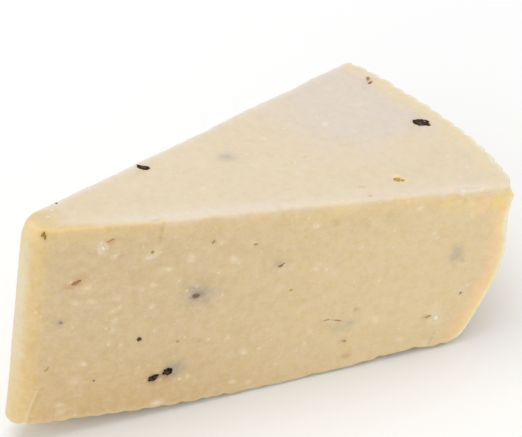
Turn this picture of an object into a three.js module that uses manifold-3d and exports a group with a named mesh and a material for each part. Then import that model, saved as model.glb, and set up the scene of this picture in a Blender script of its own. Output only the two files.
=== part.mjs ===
// A wedge of aged pepper cheese cut from a basket-moulded wheel. Millimetres, +Z up.
//
// The wedge is shaped in the wheel's own frame: the wheel's axis is Z, the top face lies at
// z = 0, and X runs along the middle of the wedge towards the rind. The finished wedge is
// then tipped onto its bulging underside, as it stands on a table.

import * as THREE from 'three';
import { mergeVertices } from 'three/addons/utils/BufferGeometryUtils.js';
import Module from 'manifold-3d';

const wasm = await Module();
wasm.setup();

// Driving dimensions of the wheel and the cut. Each cut passes outside the wheel's axis by
// the cut offset.
const WHEEL_RADIUS = 150;
const WHEEL_HEIGHT = 60.7;
const RIM_HEIGHT = 50.7;
const TIP_RADIUS = 13.5;
const WEDGE_ANGLE = THREE.MathUtils.degToRad(29.6);
const CUT_OFFSET = 0.3;
const EDGE_ROUNDING = 1.1;
const WORN_CORNER_ROUNDING = 5;
const TOP_SAG = 0.3;
const UNEVENNESS = 0.16;

// How the wedge stands
const REST_TILT = THREE.MathUtils.degToRad(7.73);
const FLAT_DEPTH = 0.32;

// The rim swells a little near the front cut, where the wheel was pressed out of round: how
// much, where and how widely round the wheel, and between which depths it dies away. The
// sharpness keeps the swelling to the rind, away from the rest of the wedge.
const RIM_SWELL = 0.9;
const SWELL_ANGLE = THREE.MathUtils.degToRad(-6.3);
const SWELL_WIDTH = THREE.MathUtils.degToRad(6.5);
const SWELL_FADE = { from: 6, to: 30 };
const SWELL_SHARPNESS = 8;

// Marks of the basket mould: upright ribs on the rind and rings on the underside. The moulds
// that press them reach past the wedge on every side.
const RIB_PITCH = THREE.MathUtils.degToRad(1.95);
const RIB_DEPTH = 0.75;
const RING_DEPTH = 0.6;
const RING_FIRST_RADIUS = 11.4;
const RING_PITCH_INNER = 4.1;
const RING_PITCH_GAIN = 0.027;
const MARK_WANDER = 0.12;
const DEPTH_WANDER = 0.25;
const WORN_FROM = 74;
const WORN_TO = 106;
const WORN_DEPTH_SHARE = 0.4;
const MOULD_ALLOWANCE = 0.5;
const MOULD_OVERREACH = THREE.MathUtils.degToRad(4.5);
const RING_MARGIN = 12;
const RING_MOULD_RISE = 0.1;
const RING_MOULD_TOP = 8;

// Number of mesh steps along the radius, round the wheel and up the wedge, how much closer the
// radial ones lie near the tip, and the number of grid lines that round each edge
const STEPS = { radial: 26, around: 8, height: 10 };
const TIP_CROWDING = 1.3;
const ROUNDING_LINES = 2;
const ROUNDED_SHARE_AROUND = 0.06;
const STAVE_ROWS = 16;
const RING_COLUMNS = 8;

const HALF_ANGLE = WEDGE_ANGLE / 2;
const RIM_LIP_RADIUS = WHEEL_RADIUS - 0.2;
const TOP_CORNER_RADIUS = WHEEL_RADIUS;
const LOWER_CORNER_RADIUS = WHEEL_RADIUS - 12.8;

// A repeatable random number source
function randomSource(seed) {
  let state = seed;
  return () => {
    state = (state + 0x6d2b79f5) | 0;
    let mixed = Math.imul(state ^ (state >>> 15), 1 | state);
    mixed = (mixed + Math.imul(mixed ^ (mixed >>> 7), 61 | mixed)) ^ mixed;
    return ((mixed ^ (mixed >>> 14)) >>> 0) / 4294967296;
  };
}

// A random amount between minus and plus the given spread
function vary(random, spread) {
  return spread * (2 * random() - 1);
}

// The wheel's section, drawn as four curves of radius and height
const underside = new THREE.SplineCurve([
  new THREE.Vector2(TIP_RADIUS - 0.8, -WHEEL_HEIGHT),
  new THREE.Vector2(30, -WHEEL_HEIGHT),
  new THREE.Vector2(60, 0.9 - WHEEL_HEIGHT),
  new THREE.Vector2(90, 3.8 - WHEEL_HEIGHT),
  new THREE.Vector2(114, 7.5 - WHEEL_HEIGHT),
  new THREE.Vector2(125, 9.4 - WHEEL_HEIGHT),
  new THREE.Vector2(LOWER_CORNER_RADIUS, -RIM_HEIGHT),
]);
const rind = new THREE.SplineCurve([
  new THREE.Vector2(LOWER_CORNER_RADIUS, -RIM_HEIGHT),
  new THREE.Vector2(WHEEL_RADIUS - 9, -47.8),
  new THREE.Vector2(WHEEL_RADIUS - 6.1, -42.4),
  new THREE.Vector2(WHEEL_RADIUS - 3.4, -35.6),
  new THREE.Vector2(WHEEL_RADIUS - 0.6, -27.5),
  new THREE.Vector2(WHEEL_RADIUS, -20.5),
  new THREE.Vector2(WHEEL_RADIUS - 0.8, -13.4),
  new THREE.Vector2(WHEEL_RADIUS - 1, -8.8),
  new THREE.Vector2(RIM_LIP_RADIUS, -4.4),
  new THREE.Vector2(TOP_CORNER_RADIUS, 0),
]);
const tipEdge = new THREE.SplineCurve([
  new THREE.Vector2(TIP_RADIUS - 0.8, -WHEEL_HEIGHT),
  new THREE.Vector2(TIP_RADIUS - 0.5, -50),
  new THREE.Vector2(TIP_RADIUS - 0.1, -24),
  new THREE.Vector2(TIP_RADIUS + 0.15, -6),
  new THREE.Vector2(TIP_RADIUS + 0.65, -2.4),
  new THREE.Vector2(TIP_RADIUS + 1.8, 0),
]);
const topFace = new THREE.LineCurve(
  new THREE.Vector2(TIP_RADIUS + 1.8, 0),
  new THREE.Vector2(TOP_CORNER_RADIUS, 0),
);

// A point of the section, blended from its four curves: along runs from tip to rind, up from
// underside to top face
function sectionPoint(along, up) {
  const low = underside.getPointAt(along);
  const high = topFace.getPointAt(along);
  const near = tipEdge.getPointAt(up);
  const far = rind.getPointAt(up);
  const blend = (axis) => {
    const upward = (1 - up) * low[axis] + up * high[axis];
    const outward = (1 - along) * near[axis] + along * far[axis];
    const lowCorners = (1 - along) * underside.points[0][axis] + along * rind.points[0][axis];
    const highCorners = (1 - along) * topFace.v1[axis] + along * topFace.v2[axis];
    return upward + outward - (1 - up) * lowCorners - up * highCorners;
  };
  return new THREE.Vector2(blend('x'), blend('y'));
}

// Slow waves of a knife-cut, hand-turned surface, from -1 to 1
const WAVE_LENGTHS = [61, 43, 29, 21, 15];
function surfaceWave(point) {
  let sum = 0;
  WAVE_LENGTHS.forEach((length, index) => {
    const turn = 1.1 + 2.4 * index;
    const across = point.x * Math.cos(turn) + point.y * Math.sin(turn);
    const rise = point.z * Math.cos(turn * 1.7);
    sum += Math.sin((2 * Math.PI * (across + rise)) / length + turn);
  });
  return sum / WAVE_LENGTHS.length;
}

// Grid lines of one direction, with some of them inside each rounded edge. A crowding above 1
// draws the others towards the first edge.
function gridLine(index, count, edge, crowding = 1) {
  const fromEnd = Math.min(index, count - index);
  if (fromEnd >= ROUNDING_LINES) {
    const shared = (index - ROUNDING_LINES) / (count - 2 * ROUNDING_LINES);
    return edge + shared ** crowding * (1 - 2 * edge);
  }
  const rounded = (fromEnd / ROUNDING_LINES) * edge;
  return index < count / 2 ? rounded : 1 - rounded;
}

// How far the rim swells out at a turn round the wheel and a height
function rimSwell(angle, height) {
  const aside = (angle - SWELL_ANGLE) / SWELL_WIDTH;
  const fade = 1 - THREE.MathUtils.smoothstep(-height, SWELL_FADE.from, SWELL_FADE.to);
  return RIM_SWELL * Math.exp(-aside * aside) * fade;
}

// The upright corner between the rind and the back cut is worn round. Returns the place with
// its radius and angle pulled in to the worn corner's arc; wall is the rind's radius there.
function wearCorner(radius, angle, wall) {
  const inward = new THREE.Vector2(
    WORN_CORNER_ROUNDING - (wall - radius),
    WORN_CORNER_ROUNDING - (HALF_ANGLE - angle) * radius - CUT_OFFSET,
  );
  if (inward.x <= 0 || inward.y <= 0 || inward.length() <= WORN_CORNER_ROUNDING) {
    return { radius, angle };
  }
  inward.setLength(WORN_CORNER_ROUNDING);
  const wornRadius = wall - WORN_CORNER_ROUNDING + inward.x;
  const fromCut = WORN_CORNER_ROUNDING - inward.y - CUT_OFFSET;
  return { radius: wornRadius, angle: HALF_ANGLE - fromCut / wornRadius };
}

// The tip is a round nose that meets both cuts smoothly. Returns the place with its radius and
// angle pulled in to the nose; nearest is the nose's least radius at that height, and inset is
// how far the place lies inside it because of the rounding of the top or bottom edge.
function roundTip(radius, angle, nearest, inset) {
  const sine = Math.sin(HALF_ANGLE);
  const noseRadius = (nearest * sine + CUT_OFFSET) / (1 - sine);
  const centre = new THREE.Vector2(nearest + noseRadius, 0);
  const away = new THREE.Vector2(Math.cos(angle), Math.sin(angle)).multiplyScalar(radius).sub(centre);
  const reach = noseRadius - inset;
  if (away.length() <= reach || -away.x <= sine * away.length()) return { radius, angle };
  const worn = away.setLength(reach).add(centre);
  return { radius: worn.length(), angle: Math.atan2(worn.y, worn.x) };
}

// The smooth wedge: a gridded box bent to the section and rounded at every edge
function wedgeGeometry() {
  const { radial, around, height } = STEPS;
  const grid = new THREE.BoxGeometry(1, 1, 1, radial, around, height);
  const place = grid.attributes.position;
  const alongEdge = EDGE_ROUNDING / (WHEEL_RADIUS - TIP_RADIUS);
  const upEdge = EDGE_ROUNDING / WHEEL_HEIGHT;
  for (let i = 0; i < place.count; i += 1) {
    const radialLine = Math.round((place.getX(i) + 0.5) * radial);
    const along = gridLine(radialLine, radial, alongEdge, TIP_CROWDING);
    const turnLine = Math.round((place.getY(i) + 0.5) * around);
    const side = 2 * gridLine(turnLine, around, ROUNDED_SHARE_AROUND) - 1;
    const up = gridLine(Math.round((place.getZ(i) + 0.5) * height), height, upEdge);
    const outer = sectionPoint(along, up);
    const inner = sectionPoint(
      THREE.MathUtils.clamp(along, alongEdge, 1 - alongEdge),
      THREE.MathUtils.clamp(up, upEdge, 1 - upEdge),
    );
    const halfArc = outer.x * HALF_ANGLE + CUT_OFFSET;
    const flatPart = 1 - 2 * ROUNDED_SHARE_AROUND;
    const innerSide = THREE.MathUtils.clamp(side / flatPart, -1, 1);
    const innerArc = innerSide * (halfArc - EDGE_ROUNDING);
    const overshoot = (Math.abs(side) - flatPart) / (1 - flatPart);
    const sideways = Math.sign(side) * Math.max(0, overshoot) * EDGE_ROUNDING;
    const outward = new THREE.Vector3(outer.x - inner.x, sideways, outer.y - inner.y);
    outward.setLength(EDGE_ROUNDING);
    const evenRadius = inner.x + outward.x;
    const evenAngle = (innerArc + outward.y) / evenRadius;
    const swell = rimSwell(evenAngle, outer.y) * along ** SWELL_SHARPNESS;
    const allowance = swell + (along === 1 ? MOULD_ALLOWANCE : 0);
    const inset = EDGE_ROUNDING - Math.hypot(outward.x, outward.y);
    const cornered = wearCorner(evenRadius + allowance, evenAngle, rind.getPointAt(up).x);
    const { radius, angle } = roundTip(
      cornered.radius,
      cornered.angle,
      tipEdge.getPointAt(up).x,
      inset,
    );
    const sag = TOP_SAG * up * Math.sin(Math.PI * along) * (0.5 + 0.5 * side);
    const point = new THREE.Vector3(radius, 0, inner.y + outward.z - sag);
    point.z -= up === 0 ? MOULD_ALLOWANCE : 0;
    point.applyAxisAngle(new THREE.Vector3(0, 0, 1), angle);
    outward.applyAxisAngle(new THREE.Vector3(0, 0, 1), angle).setLength(1);
    point.addScaledVector(outward, UNEVENNESS * surfaceWave(point));
    place.setXYZ(i, point.x, point.y, point.z);
  }
  return grid;
}

// Closed three.js geometry to a solid, and back
function toSolid(geometry) {
  const bare = geometry.clone();
  bare.deleteAttribute('uv');
  bare.deleteAttribute('normal');
  const merged = mergeVertices(bare, 1e-5);
  return new wasm.Manifold(
    new wasm.Mesh({
      numProp: 3,
      vertProperties: new Float32Array(merged.attributes.position.array),
      triVerts: new Uint32Array(merged.index.array),
    }),
  );
}

function toGeometry(solid) {
  const mesh = solid.getMesh();
  const geometry = new THREE.BufferGeometry();
  geometry.setAttribute('position', new THREE.BufferAttribute(mesh.vertProperties, 3));
  geometry.setIndex(new THREE.BufferAttribute(mesh.triVerts, 1));
  return geometry;
}

// Depth of a mark below the crest between two valleys: share runs from one valley to the next
const MARK_SHARES = [0, 0.3, 0.7];
function markDepth(share) {
  return (1 - Math.sin(Math.PI * share)) ** 1.5;
}

// A gridded box between two angles, each of its points placed in the wheel's section by
// placePoint, which is given the point's grid numbers along, around and up
function sectorGeometry(counts, angleAt, placePoint) {
  const grid = new THREE.BoxGeometry(1, 1, 1, counts.along, counts.around, counts.up);
  const place = grid.attributes.position;
  for (let i = 0; i < place.count; i += 1) {
    const along = Math.round((place.getX(i) + 0.5) * counts.along);
    const around = Math.round((place.getY(i) + 0.5) * counts.around);
    const up = Math.round((place.getZ(i) + 0.5) * counts.up);
    const angle = angleAt(around);
    const { radius, height, outward } = placePoint(along, around, up);
    const point = new THREE.Vector3(radius, 0, height);
    point.applyAxisAngle(new THREE.Vector3(0, 0, 1), angle);
    const normal = outward.clone().applyAxisAngle(new THREE.Vector3(0, 0, 1), angle);
    point.addScaledVector(normal, UNEVENNESS * surfaceWave(point));
    place.setXYZ(i, point.x, point.y, point.z);
  }
  return grid;
}

// The space inside the basket's staves, which left upright ribs with sharp valleys
function staveMould(random) {
  const ribs = Math.ceil((WEDGE_ANGLE + 2 * MOULD_OVERREACH) / RIB_PITCH);
  const lines = [];
  for (let rib = 0; rib < ribs; rib += 1) {
    const start = (rib - ribs / 2 + vary(random, MARK_WANDER)) * RIB_PITCH;
    const depth = RIB_DEPTH * (1 + vary(random, DEPTH_WANDER));
    lines.push(...MARK_SHARES.map((share) => ({
      angle: start + share * RIB_PITCH,
      depth: depth * markDepth(share),
    })));
  }
  // The rind's own curve, carried on below the underside and above the top face
  const wall = new THREE.SplineCurve([
    new THREE.Vector2(LOWER_CORNER_RADIUS - 28, -RIM_HEIGHT - 24),
    new THREE.Vector2(LOWER_CORNER_RADIUS - 9, -RIM_HEIGHT - 5.5),
    ...rind.points,
    new THREE.Vector2(TOP_CORNER_RADIUS - 1.6, 4),
  ]);
  return sectorGeometry(
    { along: 1, around: lines.length - 1, up: STAVE_ROWS },
    (around) => lines[around].angle,
    (along, around, up) => {
      const point = wall.getPointAt(up / STAVE_ROWS);
      const tangent = wall.getTangentAt(up / STAVE_ROWS);
      const outward = new THREE.Vector3(tangent.y, 0, -tangent.x);
      const swollen = point.x + rimSwell(lines[around].angle, point.y);
      const radius = along === 0 ? 1 : swollen - outward.x * lines[around].depth;
      const height = along === 0 ? point.y : point.y - outward.z * lines[around].depth;
      return { radius, height, outward };
    },
  );
}

// The space above the basket's bottom, which left rings that spread towards the rind
function ringMould(random) {
  const lines = [{ radius: 1, depth: 0 }];
  let radius = RING_FIRST_RADIUS;
  while (radius < LOWER_CORNER_RADIUS) {
    const evenPitch = RING_PITCH_INNER + RING_PITCH_GAIN * radius;
    const pitch = evenPitch * (1 + vary(random, MARK_WANDER));
    const worn = radius > WORN_FROM && radius < WORN_TO ? WORN_DEPTH_SHARE : 1;
    const depth = RING_DEPTH * worn * (1 + vary(random, DEPTH_WANDER));
    const start = radius;
    lines.push(...MARK_SHARES.map((share) => ({
      radius: start + share * pitch,
      depth: depth * markDepth(share),
    })));
    radius += pitch;
  }
  lines.push({ radius: radius + RING_MARGIN, depth: 0 });
  const length = LOWER_CORNER_RADIUS - TIP_RADIUS;
  const reach = HALF_ANGLE + MOULD_OVERREACH;
  return sectorGeometry(
    { along: lines.length - 1, around: RING_COLUMNS, up: 1 },
    (around) => reach * ((2 * around) / RING_COLUMNS - 1),
    (along, around, up) => {
      const line = lines[along];
      const share = THREE.MathUtils.clamp((line.radius - TIP_RADIUS) / length, 0, 1);
      const beyond = Math.max(0, line.radius - LOWER_CORNER_RADIUS);
      const floor = underside.getPointAt(share).y + RING_MOULD_RISE * beyond + line.depth;
      const outward = new THREE.Vector3(0, 0, -1);
      return { radius: line.radius, height: up === 0 ? floor : RING_MOULD_TOP, outward };
    },
  );
}

// The three cut faces, each with its own way of naming a point on it. A place is a pair:
// along the face from the wheel's axis, and then down from the top face, or on the top face
// itself towards the back cut.
const FACES = {
  front: { turn: -HALF_ANGLE, upright: true, outward: -1 },
  back: { turn: HALF_ANGLE, upright: true, outward: 1 },
  top: { turn: 0, upright: false, outward: 1 },
};

function faceFrame(face, along, across) {
  const { turn, upright, outward } = FACES[face];
  const radial = new THREE.Vector3(Math.cos(turn), Math.sin(turn), 0);
  const sideways = new THREE.Vector3(-Math.sin(turn), Math.cos(turn), 0);
  const vertical = new THREE.Vector3(0, 0, 1);
  const normal = upright ? sideways.clone().multiplyScalar(outward) : vertical.clone();
  const second = new THREE.Vector3().crossVectors(normal, radial);
  const origin = radial.clone().multiplyScalar(along);
  origin.addScaledVector(upright ? vertical : sideways, upright ? -across : across);
  const lift = UNEVENNESS * surfaceWave(origin) + (upright ? CUT_OFFSET : 0);
  origin.addScaledVector(normal, lift);
  return new THREE.Matrix4().makeBasis(radial, second, normal).setPosition(origin);
}

// An uneven lump with flat facets, of the given length, width and thickness
const LUMP_UNEVENNESS = 0.12;
function lumpGeometry(length, width, thickness, random) {
  const lump = new THREE.IcosahedronGeometry(1, 0);
  lump.deleteAttribute('uv');
  lump.deleteAttribute('normal');
  const merged = mergeVertices(lump, 1e-4);
  const place = merged.attributes.position;
  for (let i = 0; i < place.count; i += 1) {
    const scale = 1 + vary(random, LUMP_UNEVENNESS);
    place.setXYZ(i, place.getX(i) * scale, place.getY(i) * scale, place.getZ(i) * scale);
  }
  return merged.scale(length / 2, width / 2, thickness / 2);
}

// A lump set into a face: turned in the face's plane and raised or sunk along its normal
function lumpOnFace(mark, random) {
  const { face, along, across, length, width, thickness, turn, lift } = mark;
  const lump = lumpGeometry(length, width, thickness, random);
  lump.rotateZ(THREE.MathUtils.degToRad(turn)).translate(0, 0, lift);
  return toSolid(lump.applyMatrix4(faceFrame(face, along, across)));
}

// Pepper in the paste. Each row is: face, along, across, length, width and turn in degrees.
const PEPPER = [
  ['top', 141.4, 0, 4.1, 3.4, 12],
  ['top', 142.3, 25.6, 2, 1.3, 50],
  ['top', 56.6, 12.2, 3.6, 2.4, 15],
  ['top', 116.2, -22.5, 1.7, 1.1, -30],
  ['top', 81, 7.6, 2, 1.6, 0],
  ['front', 17.5, 2, 2.2, 1.6, 80],
  ['front', 26.7, 16.4, 2.8, 1.2, 25],
  ['front', 34.9, 4.4, 3.2, 1, -20],
  ['front', 23.3, 28.1, 1.4, 1.3, 0],
  ['front', 45.5, 36.4, 1.5, 1.4, 0],
  ['front', 50.7, 49.8, 3.1, 1.9, 28],
  ['front', 54.5, 48.3, 3.1, 2, 38],
  ['front', 60.2, 24.3, 1.8, 1.6, 10],
  ['front', 83.3, 17.7, 2.3, 1.2, 0],
  ['front', 101.5, 38, 5, 1, 8],
  ['front', 105.5, 45.2, 1.4, 1.1, 0],
  ['front', 130.5, 40.5, 2.3, 1.1, 30],
  ['front', 138.4, 33.2, 1.2, 1, 0],
  ['front', 33.5, 48, 1.2, 1, 0],
  ['front', 20.8, 43, 1.9, 1, 70],
  ['back', 22, 12, 2.4, 1.4, 40],
  ['back', 38.5, 33, 3.1, 2.6, 10],
  ['back', 52, 9.5, 1.6, 1.2, 0],
  ['back', 61.5, 46, 2.7, 1.6, -35],
  ['back', 74, 26.5, 1.5, 1.4, 0],
  ['back', 88.5, 13.2, 3.6, 1.1, 15],
  ['back', 97, 41.5, 2.2, 1.8, 60],
  ['back', 111.5, 22, 3.3, 2.9, 25],
  ['back', 122, 8.5, 1.4, 1.1, 0],
  ['back', 129.5, 36, 2.6, 1.3, -20],
  ['back', 139, 17, 1.5, 1.3, 0],
];
const PEPPER_THICKNESS = 1.5;
const PEPPER_PROUD = 0.35;

function pepperBits(random) {
  return PEPPER.map(([face, along, across, length, width, turn]) => {
    const lift = PEPPER_PROUD - PEPPER_THICKNESS / 2;
    const mark = { face, along, across, length, width, turn, lift };
    return lumpOnFace({ ...mark, thickness: PEPPER_THICKNESS }, random);
  });
}

// Crags where the knife tore the paste, pits where a grain fell out, and the chip in the rim's
// front corner. Each row is: face, along, across, length, width, depth and turn in degrees.
const TEARS = [
  ['top', 131.5, -33.8, 8.5, 1.8, 1.1, -16],
  ['top', 95.5, -2.5, 2.2, 1.4, 0.5, 40],
  ['top', 46, -11.6, 3.6, 1.1, 0.6, -14],
  ['front', 33.3, 6.6, 3.4, 2, 0.8, 10],
  ['front', 46.4, 10.1, 2.4, 1, 0.5, 25],
  ['front', 132.4, 40.2, 2.6, 1.7, 0.7, 0],
  ['front', 131.9, 47.6, 4.4, 0.9, 0.6, 50],
  ['front', 117.2, 52.5, 3.2, 2, 1.5, 8],
  ['front', 79.3, 58.3, 3.2, 2, 1.4, 5],
  ['front', 67.6, 59.5, 4.8, 2.8, 3.2, 8],
  ['front', 151.5, -0.9, 9, 12.4, 7, 0],
  ['back', 30.5, 58.8, 3.8, 1.9, 1.1, 5],
  ['back', 47, 20.5, 3, 1.5, 0.7, -25],
  ['back', 83, 34.5, 2.1, 1.2, 0.5, 60],
  ['back', 104, 4.2, 4.4, 1.2, 0.6, 5],
  ['back', 118.5, 51.6, 3.6, 2, 1, -10],
];

function tears(random) {
  return TEARS.map(([face, along, across, length, width, depth, turn]) => {
    const mark = { face, along, across, length, width, turn, lift: 0 };
    return lumpOnFace({ ...mark, thickness: 2 * depth }, random);
  });
}

// The whole wedge in the wheel's frame
function buildWedge() {
  const random = randomSource(7);
  let wedge = toSolid(wedgeGeometry());
  wedge = wedge.intersect(toSolid(staveMould(random)));
  wedge = wedge.intersect(toSolid(ringMould(random)));
  wedge = tears(random).reduce((solid, tear) => solid.subtract(tear), wedge);
  return pepperBits(random).reduce((solid, bit) => solid.add(bit), wedge);
}

// Tip the wedge onto its belly, plane a small flat where it stands and centre it there
function standWedge(solid) {
  const tipped = toGeometry(solid).rotateY(REST_TILT);
  tipped.computeBoundingBox();
  const floor = tipped.boundingBox.min.z + FLAT_DEPTH;
  const block = new THREE.BoxGeometry(4 * WHEEL_RADIUS, 4 * WHEEL_RADIUS, WHEEL_HEIGHT);
  block.translate(0, 0, floor - WHEEL_HEIGHT / 2);
  const stood = toGeometry(toSolid(tipped).subtract(toSolid(block)));
  stood.computeBoundingBox();
  const centre = stood.boundingBox.getCenter(new THREE.Vector3());
  return stood.translate(-centre.x, -centre.y, -floor);
}

const paste = new THREE.MeshStandardMaterial({ color: 0xe4d2b0, roughness: 0.55, metalness: 0 });

const geometry = standWedge(buildWedge());
geometry.computeVertexNormals();
const wedge = new THREE.Mesh(geometry, paste);
wedge.name = 'cheese_wedge';

const cheese = new THREE.Group();
cheese.add(wedge);

export default cheese;
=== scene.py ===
"""A wedge of aged pepper cheese, cut from a wheel that was moulded in a basket.

The paste is one fine mesh: a gridded box bent to the wheel's section, marked by the mould's
staves and rings, torn a little by the knife, and tipped onto its bulging underside. Its colours
are painted on the mesh, and the material adds the grain. The cut peppercorns, husks, dots and
pale crystals are meshes of their own, set into the cut faces.
"""

import math
import random

import bmesh
import bpy
import numpy as np
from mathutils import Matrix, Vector, noise


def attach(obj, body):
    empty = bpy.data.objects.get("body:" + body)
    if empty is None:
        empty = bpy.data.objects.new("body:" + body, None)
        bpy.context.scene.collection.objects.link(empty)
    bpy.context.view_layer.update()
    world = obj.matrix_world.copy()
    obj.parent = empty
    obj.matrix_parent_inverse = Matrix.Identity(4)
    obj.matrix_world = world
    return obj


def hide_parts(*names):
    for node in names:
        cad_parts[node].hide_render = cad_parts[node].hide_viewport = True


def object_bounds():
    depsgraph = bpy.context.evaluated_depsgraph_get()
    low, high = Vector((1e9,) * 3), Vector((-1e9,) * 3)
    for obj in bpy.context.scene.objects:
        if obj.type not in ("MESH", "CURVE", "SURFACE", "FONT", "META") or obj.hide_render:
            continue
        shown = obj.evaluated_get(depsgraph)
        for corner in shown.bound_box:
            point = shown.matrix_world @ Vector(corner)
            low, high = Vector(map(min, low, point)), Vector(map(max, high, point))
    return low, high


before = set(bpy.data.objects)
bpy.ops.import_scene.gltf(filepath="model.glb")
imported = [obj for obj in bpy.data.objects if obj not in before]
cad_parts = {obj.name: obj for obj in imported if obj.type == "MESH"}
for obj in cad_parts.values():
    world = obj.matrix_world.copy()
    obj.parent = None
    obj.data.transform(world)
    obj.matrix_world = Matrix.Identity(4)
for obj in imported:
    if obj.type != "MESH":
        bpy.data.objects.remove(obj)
cad_low, cad_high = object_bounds()

# Sizes of the wheel and the cut, in millimetres and degrees, as in the solid
MM = 0.001
WHEEL_RADIUS = 150
WHEEL_HEIGHT = 60.7
RIM_HEIGHT = 50.7
TIP_RADIUS = 13.5
HALF_ANGLE = math.radians(29.6) / 2
CUT_OFFSET = 0.3
EDGE_ROUNDING = 1.1
WORN_CORNER_ROUNDING = 5
TOP_SAG = 0.3
UNEVENNESS = 0.16
REST_TILT = math.radians(7.73)
FLAT_DEPTH = 0.32
RIM_LIP_RADIUS = WHEEL_RADIUS - 0.2
TOP_CORNER_RADIUS = WHEEL_RADIUS
LOWER_CORNER_RADIUS = WHEEL_RADIUS - 12.8

# How far the rim swells near the front cut, where and how widely round the wheel, between which
# depths it dies away, and how sharply it keeps to the rind
RIM_SWELL = 0.9
SWELL_ANGLE = math.radians(-6.3)
SWELL_WIDTH = math.radians(6.5)
SWELL_FADE = (6, 30)
SWELL_SHARPNESS = 8

# Marks of the basket mould
RIB_PITCH = math.radians(1.95)
RIB_DEPTH = 0.75
RIM_RIB_GAIN = 0.45
RIM_RIB_RISE = (-5, -1)
RING_DEPTH = 0.6
RING_FIRST_RADIUS = 11.4
RING_PITCH_INNER = 4.1
RING_PITCH_GAIN = 0.027
MARK_WANDER = 0.12
DEPTH_WANDER = 0.25
MOULD_OVERREACH = math.radians(4.5)
WORN_FROM = 74
WORN_TO = 106
WORN_DEPTH_SHARE = 0.4
MARK_REACH = 4.0

# Mesh steps along the radius, round the wheel and up the wedge, and how they round the edges
STEPS = (156, 96, 60)
ROUNDING_LINES = 3
ROUNDED_SHARE_AROUND = 0.03

# How far from details, crests, the rim and the chip the mesh is finer, and how far off its face
# a mark still counts
FINE_REACH = 1.4
CREST_REACH = 3.8
CREST_CUT = 4.4
RIM_REACH = (2.6, 3.4)
CHIP_FINE = 1.25
OFF_FACE = 2.2

# Lift of the surface by noise, in layers of strength, size of the lumps and shift: everywhere
# together with the ragged grain, more at the edges, and along the crests
RAGGED_LIFT = 0.025
SURFACE_GRAIN = [(0.07, 9.0, 1.0), (0.05, 3.1, 2.0)]
EDGE_GRAIN = [(0.20, 6.5, 4.0), (0.12, 2.3, 8.0)]
CREST_GRAIN = [(0.30, 11, 9.0), (0.20, 3.4, 10.0)]
CREST_WEAR = 0.08

# How the pale top colour wanders where it runs over the crest, and how it crumbles on the right
CREST_WANDER = [(0.3, 17, 5.0), (0.4, 5.5, 6.0)]
CRUMBLY_FROM = (95, 115)

# How far from the tip its top edge is worn, in turn, and in how many rounds each time
TIP_WEAR = (10, 8, 6, 5)
TIP_WEAR_ROUNDS = 3

# Where the picture is taken from; the aim is in the tipped wheel's frame
CAMERA_AIM = (84.904, -1.527, -28.222)
CAMERA_DISTANCE = 0.6773
CAMERA_AZIMUTH = math.radians(-34.69)
CAMERA_ELEVATION = math.radians(36.21)
CAMERA_LENS = 172.4
CAMERA_SENSOR = 36.0

# The point that the lights face, in metres
LIT_POINT = Vector((0, 0, 0.03))

# Colours of the paste, the rind and what marks them
PASTE_LEFT = (0.668, 0.507, 0.291)
PASTE_RIGHT = (0.772, 0.610, 0.355)
PASTE_LOW_LEFT = (0.663, 0.476, 0.233)
# The top face's colours are paler than the cuts', partly in their own paste and partly as painted overhead
# light and sheen
TOP_PALE = (0.716, 0.608, 0.442)
TOP_TIP = (0.712, 0.592, 0.415)
TIP_TOP = (0.672, 0.535, 0.290)
TIP_GOLD = (0.650, 0.515, 0.235)
TOP_FAR = (0.685, 0.603, 0.530)
TOP_RIM = (0.745, 0.628, 0.425)
CREST_LINE = (0.738, 0.642, 0.505)
CREST_WHITE = (0.735, 0.668, 0.580)
CREST_YELLOW = (0.800, 0.615, 0.300)
CREST_OLIVE = (0.600, 0.450, 0.180)
# Painted glow of light shining through the thin tip
TIP_GLOW = (0.728, 0.538, 0.238)
TIP_PALE = (0.738, 0.645, 0.443)
AMBER = (0.640, 0.440, 0.160)
RIND_PEACH = (0.925, 0.645, 0.345)
RIND_YELLOW = (0.897, 0.741, 0.353)
RIND_CREAM = (0.902, 0.855, 0.625)
RIM_WHITE = (0.790, 0.765, 0.670)
EDGE_WHITE = (0.725, 0.710, 0.670)
CORNER_YELLOW = (0.880, 0.710, 0.330)
SKIN = (0.730, 0.560, 0.265)
SKIN_VALLEY = (0.590, 0.400, 0.150)
BLUE_GREY = (0.300, 0.292, 0.275)
LILAC = (0.420, 0.290, 0.210)
LILAC_GREY = (0.430, 0.370, 0.360)
RUST = (0.560, 0.300, 0.120)
BROWN = (0.300, 0.170, 0.080)
OLIVE = (0.400, 0.290, 0.080)
CREAM = (0.810, 0.700, 0.480)
PINKISH = (0.830, 0.660, 0.500)
BRIGHT_YELLOW = (0.850, 0.670, 0.255)
CRUMB_WHITE = (0.940, 0.820, 0.620)
SMEAR = (0.905, 0.785, 0.590)
SMEAR_PINK = (0.875, 0.700, 0.535)
EDGE_GREY = (0.700, 0.610, 0.480)
CRYSTAL_HALO = (0.900, 0.760, 0.540)


def random_source(seed):
    """The solid's repeatable random numbers, so that the mould's marks fall in the same places."""
    state = seed
    mask = 0xFFFFFFFF

    def draw():
        nonlocal state
        state = (state + 0x6D2B79F5) & mask
        mixed = ((state ^ (state >> 15)) * (1 | state)) & mask
        stirred = ((mixed ^ (mixed >> 7)) * (61 | mixed)) & mask
        mixed = ((mixed + stirred) & mask) ^ mixed
        return ((mixed ^ (mixed >> 14)) & mask) / 4294967296

    return draw


def smooth_step(values, low, high):
    """From 0 below the low value to 1 above the high one, smoothly."""
    share = np.clip((values - low) / (high - low), 0, 1)
    return share * share * (3 - 2 * share)


def bell(values, width):
    """One where the values are nought, fading smoothly to nothing over about the given width."""
    return np.exp(-((values / width) ** 2))


def fade(depth, reach):
    """One at the surface and above it, fading to nothing over about the given reach below."""
    return bell(np.maximum(depth, 0), reach)


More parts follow.
